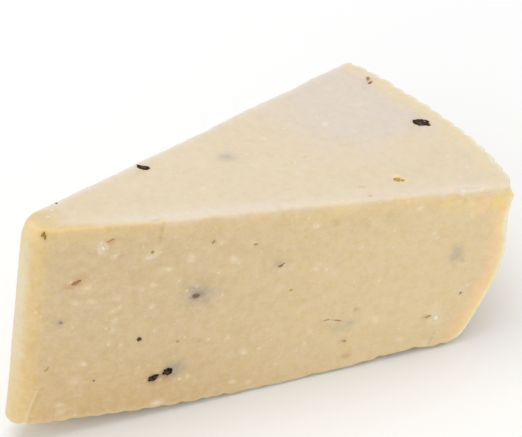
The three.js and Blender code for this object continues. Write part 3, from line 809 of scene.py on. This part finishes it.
def round_the_nose(points):
    """For each point: how deep it lies in the tip's nose, and its way round the nose and on
    along the cut, in millimetres from the foremost line of the tip."""
    nose_radius, centre = tip_nose(points[:, 2])
    away_x, away_y = points[:, 0] - centre, points[:, 1]
    length = np.hypot(away_x, away_y)
    turn = np.arctan2(np.abs(away_y), -away_x)
    on_nose = turn < math.pi / 2 - HALF_ANGLE
    depth = np.where(on_nose, nose_radius - length, np.inf)
    arc = nose_radius * (math.pi / 2 - HALF_ANGLE)
    beyond = polar(points)[0] - centre * math.cos(HALF_ANGLE)
    return depth, np.where(on_nose, nose_radius * turn, arc + np.maximum(beyond, 0))


def depths_below(points):
    """Distance of each point below each of the wedge's faces, in the wheel's frame. The nose of
    the tip is shared by the front and the back cut."""
    radius, angle = polar(points)
    height = points[:, 2]
    nose = round_the_nose(points)[0]
    front = radius * np.sin(HALF_ANGLE + angle) + CUT_OFFSET
    back = radius * np.sin(HALF_ANGLE - angle) + CUT_OFFSET
    return {
        "front": np.where(angle < 0, np.minimum(front, nose), front),
        "back": np.where(angle < 0, back, np.minimum(back, nose)),
        "top": -height,
        "rind": rind_radius(height) + rim_swell(angle, height) - radius,
        "under": height - underside_height(radius),
    }


def face_margins(depths):
    """For each face, how far inside that face's own edges each point lies."""
    margins = {}
    for name, depth in depths.items():
        others = [other for key, other in depths.items() if key != name]
        margins[name] = np.minimum.reduce(others) - depth
    return margins


def read_points(box):
    """The mesh's points, one row each."""
    return np.array([vertex.co[:] for vertex in box.verts])


def write_points(box, points):
    """Moves the mesh's vertices to the given points."""
    for vertex, point in zip(box.verts, points.tolist()):
        vertex.co = point


def refine(box, near):
    """Halves the mesh's edges wherever both ends are near something."""
    chosen = near(read_points(box))
    box.verts.index_update()
    edges = [edge for edge in box.edges if all(chosen[vertex.index] for vertex in edge.verts)]
    bmesh.ops.subdivide_edges(box, edges=edges, cuts=1, use_grid_fill=True)


def wear(box, verts, rounds):
    """Softens part of the mesh, a little in each round."""
    for _ in range(rounds):
        bmesh.ops.smooth_vert(
            box, verts=verts, factor=0.5, use_axis_x=True, use_axis_y=True, use_axis_z=True
        )


def chip_share(points):
    """How far out each point lies in the chip's hollow, with 1 on its surface, and the point's
    way from the middle of the chip."""
    offsets = face_offsets(points, CHIP)
    share = np.sqrt(sum((offset / reach) ** 2 for offset, reach in zip(offsets, CHIP_REACH)))
    return share, points - face_frame(*CHIP)[3]


def break_chip(points):
    """Breaks the chip out of the rim's front corner."""
    share, away = chip_share(points)
    wanted = 1 + 0.10 * noise_at(points, 2.4, 17.0)
    push = np.where(share < wanted, wanted / np.maximum(share, 0.05) - 1, 0)
    return points + away * push[:, None]


def wear_chip(box, points):
    """Softens the sharp rims that the chip leaves on the rind's lip."""
    share = chip_share(points)[0]
    worn = [vertex for vertex, from_middle in zip(box.verts, share) if from_middle < CHIP_WEAR]
    wear(box, worn, CHIP_WEAR_ROUNDS)


def near_details(points):
    """Picks the points near pepper, tears, the front's measured crystals, grooves and the chip."""
    chosen = np.zeros(len(points), bool)
    for mark in ALL_PEPPER + TEARS:
        reach = FINE_REACH + max(mark[3], mark[4]) / 2
        centre = face_frame(*mark[:3])[3]
        chosen |= np.linalg.norm(points - centre, axis=1) < reach
    for along, across, size in FRONT_CRYSTALS:
        centre = face_frame("front", along, across)[3]
        chosen |= np.linalg.norm(points - centre, axis=1) < 0.7 + size
    for face, places, width, _, _, _ in GROOVES:
        chosen |= line_distance(points, face, places) < FINE_REACH + width
    chosen |= chip_share(points)[0] < CHIP_FINE
    return chosen


def near_crest(points):
    """Picks the points near the two edges between the top face and the cuts."""
    depths = depths_below(points)
    side, top = np.minimum(depths["front"], depths["back"]), depths["top"]
    return (side < CREST_REACH) & (top < CREST_REACH) & (side + top < CREST_CUT)


def near_rim(points):
    """Picks the points near the top face's scalloped rim."""
    depths = depths_below(points)
    return (depths["rind"] < RIM_REACH[0]) & (depths["top"] < RIM_REACH[1])


def crest_wobble(points):
    """How far the pale top colour runs over the crest, in millimetres, along the wedge."""
    line = points * np.array([1.0, 0.0, 0.0])
    crumbly = smooth_step(points[:, 0], *CRUMBLY_FROM)
    wobble = noise_layers(line, CREST_WANDER)
    wobble += (0.5 + 0.3 * crumbly) * noise_at(line, 1.9, 7.0)
    wobble += 0.7 * crumbly * noise_at(points, 1.3, 18.0)
    radius = polar(points)[0]
    run = np.interp(radius, *zip(*CREST_RUN))
    on_back = smooth_step(points[:, 1], 0.5, 3.0)
    run = run + on_back * (np.maximum(run, BACK_RUN) - run)
    at_rim = smooth_step(radius - rind_radius(points[:, 2]), -3.5, -1.0)
    return (run + wobble) * (1 - at_rim) + RIM_RUN * at_rim


def relief_of(points, depths):
    """Lift of the surface along its normal: slow hand-cut waves, grain and ragged edges."""
    ragged = noise_at(points, 1.6, 3.0)
    nearest = np.sort(np.stack(list(depths.values())), axis=0)
    relief = noise_layers(points, SURFACE_GRAIN) + RAGGED_LIFT * ragged
    relief += fade(nearest[1], 1.8) * noise_layers(points, EDGE_GRAIN)
    crest = fade(np.minimum(depths["front"], depths["back"]), 1.6) * fade(depths["top"], 1.8)
    crest *= 0.5 + 0.5 * smooth_step(points[:, 0], 80, 105)
    line = points * np.array([1.0, 0.0, 0.0])
    relief += crest * (noise_layers(line, CREST_GRAIN) - CREST_WEAR)
    relief *= np.clip(chip_share(points)[0] - 0.8, 0.25, 1)
    for face, places, width, depth, _, _ in GROOVES:
        relief -= depth * bell(line_distance(points, face, places), GROOVE_CUT * width)
    return relief, ragged


def surface_frame(face, along, across):
    """A face's directions at a place, and that place on the uneven surface."""
    radial, second, normal, origin = face_frame(face, along, across)
    point = origin[None, :]
    return radial, second, normal, origin + normal * relief_of(point, depths_below(point))[0][0]


def cut_tears(points, ragged):
    """Sinks the tears and pits into the cut faces. Returns the points and how torn each one is."""
    torn = np.zeros(len(points))
    for mark in TEARS:
        length, width, depth, turn = mark[3:]
        spread = spread_from(points, mark, length, width, turn) * (1 + 0.4 * ragged)
        hollow = np.clip(1 - spread, 0, 1) ** 0.7
        points = points - face_frame(*mark[:3])[2] * (depth * hollow)[:, None]
        torn = np.maximum(torn, np.clip(1.3 - spread, 0, 1))
    return points, torn


def sink_round_pepper(points):
    """A slight dip in the paste round each cut grain, where it has come loose."""
    for mark in ALL_PEPPER:
        spread = spread_from(points, mark, mark[3], mark[4], mark[5])
        dip = bell(spread - 1.0, 0.45)
        points = points - face_frame(*mark[:3])[2] * (0.10 * dip)[:, None]
    return points


def layered(base, layers):
    """The base colour with each layer's colour laid over it in turn, by each point's share."""
    colour = np.array(base)
    for laid, share in layers:
        share = np.clip(share, 0, 1)[:, None]
        colour = colour * (1 - share) + np.array(laid) * share
    return colour


def strewn_places(face, count, draw):
    """Random places on a face, no closer than a millimetre or so to its edges and clear of its
    worn or chipped corner."""
    places = []
    furthest = WHEEL_RADIUS - (2 if face == "front" else 8)
    while len(places) < count:
        along = draw.uniform(TIP_RADIUS + 2, furthest)
        if face == "top":
            across = draw.uniform(-1, 1) * (along * math.tan(HALF_ANGLE) - 1.5)
            if draw.random() < along / WHEEL_RADIUS:
                places.append((along, across))
        else:
            floor = -underside_height(min(along, LOWER_CORNER_RADIUS))
            across = draw.uniform(6 if along > furthest - 6 else 1.5, floor - 1.5)
            if along < rind_radius(-across) - 1.5:
                places.append((along, across))
    return places


def strewn_blotches():
    """Pale, pink and yellowish blotches that no two wedges share."""
    draw = random.Random(11)
    marks = []
    for face, count in BLOTCHES.items():
        warm = CREST_LINE if face == "top" else RIND_PEACH
        for place in strewn_places(face, count, draw):
            length = draw.uniform(*BLOTCH_SIZES)
            width = length * draw.uniform(0.5, 0.9)
            strength = draw.uniform(*BLOTCH_STRENGTHS)
            colour = draw.choice([CREAM, CREAM, PINKISH, CREST_YELLOW, warm])
            marks.append((face, *place, length, width, draw.uniform(0, 180), strength, colour))
    return marks


def paint_paste(points, depths, ragged):
    """Colours of the cut paste, before its spots: from the tip to the rind and down the cut."""
    radius = polar(points)[0]
    top, rind, under = depths["top"], depths["rind"], depths["under"]
    patch = noise_at(points, 7.0, 12.0)
    streaky = 0.5 + 0.9 * noise_at(points * np.array([1.0, 1.0, 0.45]), 2.2, 13.0)
    # The yellow band under the crest is partly the paste's own deeper yellow and partly painted glow of
    # light shining through the thin edge
    crest = fade(top, 4.2) * np.clip(0.65 + 0.5 * patch + 0.25 * streaky, 0, 1)
    gold = fade(top - 0.5, 2.6) * smooth_step(-radius, -48, -34)
    olive = fade(top - 1.2, 2.4) * np.clip(streaky - 0.55, 0, 1)
    nose_way = round_the_nose(points)[1] + 0.4 * ragged
    # Paler on the tip's nose, fading towards the bottom: partly the paste's own paler colour and partly
    # painted light on the side that faces the left lamp
    pale_tip = 0.95 * smooth_step(-nose_way, -4.6, -0.3) * (1 - 0.60 * smooth_step(top, 30, 55))
    pale_tip *= 0.4 + 0.6 * smooth_step(top, 2, 9)
    rind_depth = rind + 0.6 * ragged + 0.9 * patch
    return layered(PASTE_LEFT, [
        (PASTE_RIGHT, smooth_step(radius + 9 * patch, 35, 135)),
        (PASTE_LOW_LEFT, smooth_step(top, 30, 62) * smooth_step(-radius, -110, -35)),
        # Partly painted glow of light through the thin edges: the band under the crest and the gold along
        # the tip's top
        (CREST_YELLOW, 0.75 * crest),
        (TIP_GOLD, 0.50 * gold),
        (CREST_OLIVE, 0.42 * olive * smooth_step(-radius, -128, -95)),
        # Painted glow of light shining through the thin tip, in a yellow band just behind its nose
        (TIP_GLOW, 0.90 * smooth_step(-nose_way, -9.5, -5.0)),
        # Partly painted light on the tip's nose
        (TIP_PALE, pale_tip),
        (RIND_PEACH, 0.80 * smooth_step(-rind_depth, -7.4, -3.0)),
        (RIND_YELLOW, 0.75 * smooth_step(-rind_depth, -3.8, -1.5)),
        (RIND_CREAM, 0.95 * smooth_step(-rind_depth, -1.9, -0.6)),
        (CORNER_YELLOW, 0.45 * fade(rind - 1.0, 4.5) * fade(top - 2.0, 3.5)),
        # A yellow band along the underside edge, partly painted glow of light through the edge
        (CREST_YELLOW, 0.35 * fade(under, 1.8)),
        (EDGE_GREY, 0.60 * fade(under, 0.8)),
    ])


def paint_top(points, depths, ragged):
    """Colours of the top face: pale, partly in its own paste and partly as painted overhead light and
    sheen, greyer far from the tip and creamy along the rim.
    """
    radius = polar(points)[0]
    front, back, rind = depths["front"], depths["back"], depths["rind"]
    patch = noise_at(points, 11.0, 14.0)
    far = smooth_step(radius + 9 * patch, 95, 125) * smooth_step(points[:, 1] + 5 * patch, -14, 8)
    # A pale band just back from the crest, partly a painted highlight
    white = bell(front - 2.4, 1.2) * smooth_step(radius, 28, 42) * smooth_step(-radius, -95, -75)
    by_tip = smooth_step(-radius + 2.5 * noise_at(points, 3.4, 16.0), -27, -18)
    return layered(TOP_PALE, [
        (TOP_TIP, smooth_step(-radius, -60, -25)),
        (TOP_FAR, 0.9 * far),
        (TOP_RIM, smooth_step(-rind + 2 * patch, -9, -4)),
        (RIM_WHITE, 0.95 * smooth_step(-rind + 0.5 * ragged, -2.8, -0.3)),
        # Paler along the crest with the front cut: partly a painted highlight where the rounded edge
        # catches the light
        (CREST_LINE, 0.9 * fade(front - 0.5, 5.0)),
        (CREST_WHITE, 0.60 * white),
        (EDGE_WHITE, 0.9 * fade(back, 1.8)),
        (TIP_TOP, 0.95 * by_tip),
    ])


def paint_skin(points, valley, ragged):
    """Straw-coloured rind, darker down in the marks of the basket."""
    patch = noise_at(points, 13.0, 15.0)
    return layered(SKIN, [
        (CREAM, 0.35 + 0.5 * patch + 0.25 * ragged),
        (SKIN_VALLEY, 0.75 * valley ** 0.8),
    ])


def paint_wedge(points, depths, margins, valley, torn, ragged):
    """The whole wedge's colours, as linear red, green and blue for each point."""
    skin = paint_skin(points, valley, ragged)
    soft = 1 - 0.4 * smooth_step(points[:, 0], 90, 110)
    top_margin = (margins["top"] + crest_wobble(points)) / soft
    colour = layered(paint_paste(points, depths, ragged), [
        (skin, smooth_step(margins["rind"] + 0.3 * ragged, 0.3, 1.4)),
        (skin, smooth_step(margins["under"] + 0.3 * ragged, -0.2, 0.9)),
        (paint_top(points, depths, ragged), smooth_step(top_margin, -1.9, 1.5)),
    ])
    spots = [(face, *spot, shade) for face, shade, group in SOFT_SPOTS for spot in group]
    halos = []
    for along, across, size in FRONT_CRYSTALS:
        form = (HALO_LENGTH * size, HALO_WIDTH * size, HALO_TURN * along)
        halos.append(("front", along, across, *form, HALO_STRENGTH, CRYSTAL_HALO))
    for mark in spots + strewn_blotches() + halos:
        length, width, turn, strength, spot = mark[3:]
        spread = spread_from(points, mark, length, width, turn) * (1 + SPOT_RAGGED * ragged)
        colour = layered(colour, [(spot, strength * bell(spread, SPOT_EDGE))])
    # Tints along grooves and creases: partly painted shade in their hollows, and a painted highlight on the
    # tip's cream ridge
    for face, places, width, _, strength, shade in GROOVES:
        line = bell(line_distance(points, face, places), GROOVE_TINT * width)
        colour = layered(colour, [(shade, strength * line)])
    crumb = torn * np.clip(0.45 + 0.6 * ragged, 0, 1)
    crumb *= 1 - 0.8 * smooth_step(margins["top"], -1.5, 0.5)
    return layered(colour, [(CRUMB_WHITE, crumb)])


def add_object(name, data):
    """Adds an object of the given data to the scene."""
    made = bpy.data.objects.new(name, data)
    bpy.context.scene.collection.objects.link(made)
    return made


def mesh_object(name, shape, values):
    """The finished smooth object of a bmesh, with the given values for each of its points."""
    mesh = bpy.data.meshes.new(name)
    shape.to_mesh(mesh)
    shape.free()
    for key, numbers in values.items():
        layer = mesh.attributes.new(key, "FLOAT", "POINT")
        layer.data.foreach_set("value", numbers)
    mesh.polygons.foreach_set("use_smooth", [True] * len(mesh.polygons))
    return add_object(name, mesh)


def tip_over(points):
    """Turns points of the wheel's frame as the wedge stands on its belly."""
    x, y, z = points.T
    cosine, sine = math.cos(REST_TILT), math.sin(REST_TILT)
    return np.stack([x * cosine + z * sine, y, z * cosine - x * sine], axis=1)


def shift_to_table(points):
    """From the tipped wheel's frame to the table, so that the wedge fills the solid's place."""
    tipped = tip_over(points)
    middle = (tipped.min(axis=0) + tipped.max(axis=0)) / 2
    wanted = (cad_low + cad_high) / 2 / MM
    floor = tipped[:, 2].min() + FLAT_DEPTH
    return np.array([wanted.x - middle[0], wanted.y - middle[1], -floor])


def wear_tip_top(box):
    """Softens the edge between the top face and the tip's round nose."""
    for reach in TIP_WEAR:
        worn = []
        for vertex in box.verts:
            x, y, z = vertex.co
            if math.hypot(x, y) < TIP_RADIUS + reach and z > -0.6 * reach:
                worn.append(vertex)
        wear(box, worn, TIP_WEAR_ROUNDS)


def make_wedge():
    """The paste: returns its object and the shift from the tipped wheel's frame to the table."""
    box = gridded_box()
    write_points(box, bend_to_wedge(read_points(box)))
    wear_tip_top(box)
    for near in (near_crest, near_rim, near_details):
        refine(box, near)
    box.normal_update()
    points = read_points(box)
    outward = np.array([vertex.normal[:] for vertex in box.verts])
    points = points + outward * (UNEVENNESS * surface_wave(points))[:, None]
    depths = depths_below(points)
    margins = face_margins(depths)
    points, valley = press_mould(points)
    points = break_chip(points)
    shift = shift_to_table(points)
    relief, ragged = relief_of(points, depths)
    points = points + outward * relief[:, None]
    points, torn = cut_tears(points, ragged)
    points = sink_round_pepper(points)
    colour = paint_wedge(points, depths, margins, valley, torn, ragged)

    standing = tip_over(points) + shift
    standing[:, 2] = np.maximum(standing[:, 2], 0)
    write_points(box, standing * MM)
    wear_chip(box, points)
    paste = mesh_object("cheese_paste", box, {
        "skin": np.clip(np.maximum(margins["rind"], margins["under"]), 0, 1),
        "mottle": 1 - TOP_CALM * smooth_step(margins["top"], -1.0, 1.0),
    })
    layer = paste.data.attributes.new("paint", "FLOAT_COLOR", "POINT")
    layer.data.foreach_set("color", np.column_stack([colour, np.ones(len(colour))]).ravel())
    paste.data.update()
    return paste, shift


def set_lump(lumps, mark, size, number, detail, proud, uneven, shift):
    """Adds one uneven lump to a bmesh, set into its face and turned by its mark. Returns how
    high each of its vertices stood before it was shaped."""
    length, width, thickness = size
    sunk = 1 - 2 * proud / thickness
    shown = math.sqrt(1 - sunk * sunk)
    made = bmesh.ops.create_icosphere(lumps, subdivisions=detail, radius=1)
    radial, second, normal, origin = surface_frame(*mark[:3])
    turn = math.radians(mark[5])
    major = radial * math.cos(turn) + second * math.sin(turn)
    minor = second * math.cos(turn) - radial * math.sin(turn)
    origin = tip_over((origin + normal * (proud - thickness / 2))[None, :])[0] + shift
    axes = [tip_over(axis[None, :])[0] for axis in (major, minor, normal)]
    heights = {}
    for vertex in made["verts"]:
        place = vertex.co.copy()
        heights[vertex] = place.z
        bend = LUMP_BEND * (place.x * place.x - 0.4)
        place.y *= (1 - LUMP_TAPER * place.x * place.x) * (1 - LUMP_LEAN * place.x)
        push = 1 + uneven * noise.noise(place * 1.5 + Vector((number, 3.7 * number, 0)))
        wrinkle = abs(noise.noise(place * 3.6 + Vector((0, number, 1.3 * number))))
        push += uneven * (0.35 - 1.1 * wrinkle)
        place.x *= push
        place.y *= push
        place.z *= 1 + 0.25 * (push - 1)
        spot = (axes[0] * place.x * length + axes[1] * (place.y + bend) * width) / (2 * shown)
        spot = spot + axes[2] * place.z * thickness / 2 + origin
        vertex.co = Vector(spot * MM)
    return heights


def set_in_face(marks, name, shift, detail, proud, thickness, uneven):
    """One mesh of uneven grains of pepper, each set into its face."""
    lumps = bmesh.new()
    cut, dark = [], []
    for number, mark in enumerate(marks):
        size = (mark[3], mark[4], thickness)
        heights = set_lump(lumps, mark, size, number + 5 * thickness, detail, proud, uneven, shift)
        cut.extend(heights.values())
        dark.extend([mark[6]] * len(heights))
    bmesh.ops.recalc_face_normals(lumps, faces=lumps.faces)
    return mesh_object(name, lumps, {"cut": np.clip(cut, 0, 1), "dark": dark})


def make_crystals(shift):
    """Small pale crystals and crumbs, measured ones on the front and strewn ones on every cut."""
    lumps = bmesh.new()
    draw = random.Random(23)
    marks = [("front", along, across, size) for along, across, size in FRONT_CRYSTALS]
    detail = [2] * len(marks)
    for face, count in STREWN.items():
        for along, across in strewn_places(face, count, draw):
            size = STREWN_SIZES[0] + (STREWN_SIZES[1] - STREWN_SIZES[0]) * draw.random() ** 2.5
            marks.append((face, along, across, size))
            detail.append(1)
    for number, (mark, fineness) in enumerate(zip(marks, detail)):
        length = mark[3] * draw.uniform(0.9, 1.4)
        width = mark[3] * draw.uniform(0.5, 0.8)
        thickness = 0.45 * mark[3]
        placed = (*mark[:3], length, width, draw.uniform(0, 180))
        set_lump(lumps, placed, (length, width, thickness), number, fineness, 0.11 * mark[3], 0.5, shift)
    bmesh.ops.recalc_face_normals(lumps, faces=lumps.faces)
    return mesh_object("pale_crystals", lumps, {})


class Nodes:
    """Short calls for building a material out of nodes."""

    def __init__(self, name):
        self.material = bpy.data.materials.new(name)
        self.material.use_nodes = True
        self.tree = self.material.node_tree
        self.tree.nodes.clear()
        self.shader = self.add("ShaderNodeBsdfPrincipled", {})
        self.add("ShaderNodeOutputMaterial", {"Surface": self.shader.outputs[0]})

    def feed(self, socket, value):
        """Gives a socket another node's output, a colour or its own value."""
        if isinstance(value, bpy.types.NodeSocket):
            self.tree.links.new(value, socket)
        elif socket.type == "RGBA" and len(value) == 3:
            socket.default_value = (*value, 1.0)
        else:
            socket.default_value = value

    def add(self, kind, inputs, **settings):
        node = self.tree.nodes.new(kind)
        for key, value in settings.items():
            setattr(node, key, value)
        for key, value in inputs.items():
            self.feed(node.inputs[key], value)
        return node

    def set(self, **values):
        """Gives the shader's inputs their values, with a low line for each space in a name."""
        for key, value in values.items():
            self.feed(self.shader.inputs[key.replace("_", " ")], value)

    def millimetres(self, stretch=(1, 1, 1), turn=(0, 0, 0)):
        """Object coordinates in millimetres, stretched and turned."""
        place = self.add("ShaderNodeTexCoord", {}).outputs["Object"]
        scale = [1000 * factor for factor in stretch]
        inputs = {"Vector": place, "Rotation": turn, "Scale": scale}
        return self.add("ShaderNodeMapping", inputs).outputs["Vector"]

    def noise(self, vector, size, detail=3.0, roughness=0.55, distortion=0.0):
        inputs = {"Vector": vector, "Scale": 1 / size, "Detail": detail}
        inputs.update({"Roughness": roughness, "Distortion": distortion})
        return self.add("ShaderNodeTexNoise", inputs).outputs["Fac"]

    def cells(self, vector, size):
        node = self.add("ShaderNodeTexVoronoi", {"Vector": vector, "Scale": 1 / size})
        return node.outputs["Distance"], node.outputs["Color"]

    def attribute(self, name, output="Fac"):
        return self.add("ShaderNodeAttribute", {}, attribute_name=name).outputs[output]

    def range(self, value, low, high, to_low=0.0, to_high=1.0):
        inputs = {"Value": value, "From Min": low, "From Max": high}
        inputs.update({"To Min": to_low, "To Max": to_high})
        return self.add("ShaderNodeMapRange", inputs).outputs["Result"]

    def math(self, operation, first, second):
        return self.add("ShaderNodeMath", {0: first, 1: second}, operation=operation).outputs[0]

    def mix(self, factor, first, second, blend="MIX"):
        inputs = {0: factor, 6: first, 7: second}
        return self.add("ShaderNodeMix", inputs, data_type="RGBA", blend_type=blend).outputs[2]

    def bump(self, height, distance, strength=1.0):
        inputs = {"Height": height, "Distance": distance, "Strength": strength}
        self.set(Normal=self.add("ShaderNodeBump", inputs).outputs["Normal"])


def paste_material():
    """Waxy sheep's milk paste: the painted colours with mottling, grain and knife streaks."""
    n = Nodes("cheese_paste")
    place = n.millimetres()
    patch = n.noise(place, 2.4, detail=4)
    grain = n.noise(place, 0.7, detail=4, roughness=0.65)
    streak = n.noise(n.millimetres(stretch=(0.14, 0.14, 1)), 0.8, detail=3)
    hue = n.noise(n.millimetres(turn=(0.9, 0.2, 0.5)), 2.9, detail=3)
    colour = n.attribute("paint", "Color")
    strength = n.attribute("mottle")
    # Each mottling: its noise, from and to which value it comes in, how strongly, and its colour
    for value, low, high, most, tint, blend in (
        (hue, 0.50, 0.70, 0.18, (0.84, 0.63, 0.27), "MIX"),
        (hue, 0.50, 0.30, 0.22, (0.83, 0.68, 0.51), "MIX"),
        (patch, 0.45, 0.75, 0.18, (0.85, 0.74, 0.53), "MIX"),
        (patch, 0.52, 0.25, 0.38, (0.88, 0.84, 0.76), "MULTIPLY"),
        (grain, 0.52, 0.75, 0.12, (0.88, 0.79, 0.60), "MIX"),
        (grain, 0.50, 0.28, 0.22, (0.86, 0.82, 0.74), "MULTIPLY"),
    ):
        share = n.math("MULTIPLY", n.range(value, low, high, 0.0, most), strength)
        colour = n.mix(share, colour, tint, blend)
    colour = n.mix(n.range(streak, 0.55, 0.75, 0.0, 0.40), colour, (0.90, 0.88, 0.82), "MULTIPLY")
    distance, cell = n.cells(n.millimetres(turn=(0.4, 0.7, 0.2)), 3.4)
    fleck = n.math("MULTIPLY", n.range(distance, 0.20, 0.08, 0.0, 0.45), n.range(cell, 0.70, 0.74))
    colour = n.mix(fleck, colour, (0.86, 0.76, 0.56))
    n.set(Base_Color=colour, Roughness=n.range(patch, 0.3, 0.7, 0.44, 0.58))
    n.set(Subsurface_Weight=0.55, Subsurface_Radius=(1.0, 0.6, 0.3), Subsurface_Scale=0.003)
    n.set(Specular_IOR_Level=0.45)
    weave = n.noise(n.millimetres(stretch=(0.5, 0.5, 1.6)), 0.9, detail=2)
    weave = n.math("MULTIPLY", weave, n.math("MULTIPLY", n.attribute("skin"), 0.8))
    height = n.math("ADD", n.math("MULTIPLY", grain, 0.3), n.math("MULTIPLY", streak, 0.3))
    height = n.math("ADD", n.math("ADD", height, weave), n.math("MULTIPLY", patch, 0.6))
    n.bump(height, 0.0003, 0.4)
    return n.material


def pepper_material(name, dark, light, inside, veil, size):
    """Wrinkled pepper: dark in its folds, lighter on its broken edges and where it is cut, and
    veiled by the paste where it is thin."""
    n = Nodes(name)
    place = n.millimetres()
    wrinkle = n.noise(place, size, detail=5, roughness=0.65, distortion=1.2)
    fine = n.noise(place, size / 4, detail=2)
    colour = n.mix(n.range(wrinkle, 0.42, 0.68), dark, light)
    shown = n.math("MULTIPLY", n.range(n.attribute("cut"), 0.75, 0.98), n.range(wrinkle, 0.46, 0.58))
    colour = n.mix(shown, colour, inside)
    veiled = n.range(n.attribute("dark"), 0.0, 1.0, 0.8, 0.0)
    colour = n.mix(veiled, colour, veil)
    n.set(Base_Color=colour, Roughness=n.range(fine, 0.3, 0.7, 0.5, 0.8), Specular_IOR_Level=0.06)
    n.bump(n.math("ADD", wrinkle, n.math("MULTIPLY", fine, 0.3)), 0.0002, 0.7)
    return n.material


def crystal_material():
    """Chalky, slightly glassy crystals."""
    n = Nodes("pale_crystals")
    speckle = n.noise(n.millimetres(), 0.35, detail=2)
    colour = n.mix(speckle, (0.90, 0.75, 0.50), (0.93, 0.84, 0.63))
    n.set(Base_Color=colour, Roughness=n.range(speckle, 0.3, 0.7, 0.5, 0.7))
    n.set(Subsurface_Weight=0.5, Subsurface_Radius=(1.0, 0.8, 0.6), Subsurface_Scale=0.0012)
    n.bump(speckle, 0.0001, 0.5)
    return n.material


def make_floor():
    """A plain pale floor, for the render alone."""
    sheet = bmesh.new()
    bmesh.ops.create_grid(sheet, x_segments=1, y_segments=1, size=6)
    floor = mesh_object("floor", sheet, {})
    n = Nodes("pale_floor")
    n.set(Base_Color=(0.9, 0.9, 0.9), Roughness=0.9, Specular_IOR_Level=0.1)
    floor.data.materials.append(n.material)


def face_along(thing, place, direction):
    """Puts a light or camera in its place and faces it along a direction."""
    thing.location = place
    thing.rotation_mode = "QUATERNION"
    thing.rotation_quaternion = direction.to_track_quat("-Z", "Y")


def soft_light(name, place, size, power):
    """A square soft light that faces the wedge."""
    light = bpy.data.lights.new(name, "AREA")
    light.size = size
    light.energy = power
    face_along(add_object(name, light), Vector(place), LIT_POINT - Vector(place))


def make_light():
    """Even white surroundings with two soft lights, from overhead and from the left."""
    world = bpy.data.worlds.new("studio")
    world.use_nodes = True
    world.node_tree.nodes["Background"].inputs["Color"].default_value = (1, 1, 1, 1)
    world.node_tree.nodes["Background"].inputs["Strength"].default_value = 0.75
    bpy.context.scene.world = world
    soft_light("overhead", (-0.2, 0.3, 1.5), 1.2, 9)
    soft_light("left", (-1.3, -0.9, 0.9), 1.0, 5)
    bpy.context.scene.view_settings.view_transform = "Standard"


def make_camera(shift):
    """The camera, where the picture is taken from."""
    camera = bpy.data.cameras.new("camera")
    camera.lens = CAMERA_LENS
    camera.sensor_width = CAMERA_SENSOR
    back = Vector((
        math.sin(CAMERA_AZIMUTH) * math.cos(CAMERA_ELEVATION),
        -math.cos(CAMERA_AZIMUTH) * math.cos(CAMERA_ELEVATION),
        math.sin(CAMERA_ELEVATION),
    ))
    aim = Vector((np.array(CAMERA_AIM) + shift) * MM)
    holder = add_object("camera", camera)
    face_along(holder, aim + back * CAMERA_DISTANCE, -back)
    bpy.context.scene.camera = holder


# Each kind of pepper: its marks and name; the lump's detail, how proud it stands, its thickness
# and unevenness; its dark, light and inside colours and that of the paste which veils it; and
# the size of its wrinkles
PEPPER = [
    (CRACKED_CORNS, "cracked_corns", 5, 0.18, 1.4, 0.55,
     (0.012, 0.006, 0.004), (0.075, 0.036, 0.018), (0.140, 0.085, 0.055), (0.420, 0.300, 0.240), 0.8),
    (RIM_HUSKS, "rim_husks", 4, 0.17, 1.0, 0.45,
     (0.100, 0.034, 0.012), (0.330, 0.150, 0.060), (0.420, 0.210, 0.090), (0.600, 0.400, 0.240), 0.5),
    (HUSKS, "pepper_husks", 4, 0.08, 0.7, 0.36,
     (0.140, 0.046, 0.012), (0.400, 0.180, 0.060), (0.480, 0.240, 0.090), (0.620, 0.400, 0.220), 0.5),
    (DOTS, "pepper_dots", 4, 0.08, 0.8, 0.42,
     (0.040, 0.020, 0.010), (0.150, 0.080, 0.035), (0.190, 0.110, 0.060), (0.480, 0.360, 0.270), 0.4),
    (OLIVE_BITS, "olive_bits", 4, 0.10, 0.7, 0.34,
     (0.160, 0.095, 0.012), (0.430, 0.290, 0.060), (0.640, 0.460, 0.120), (0.720, 0.500, 0.140), 0.4),
]

wedge, to_table = make_wedge()
wedge.data.materials.append(paste_material())
crystals = make_crystals(to_table)
crystals.data.materials.append(crystal_material())
for piece in (wedge, crystals):
    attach(piece, "root")
    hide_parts("cheese_wedge")
for marks, name, detail, proud, thickness, uneven, dark, light, inside, veil, wrinkles in PEPPER:
    piece = set_in_face(marks, name, to_table, detail, proud, thickness, uneven)
    piece.data.materials.append(pepper_material(name, dark, light, inside, veil, wrinkles))
    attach(piece, "root")
    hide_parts("cheese_wedge")

make_floor()
make_light()
make_camera(to_table)
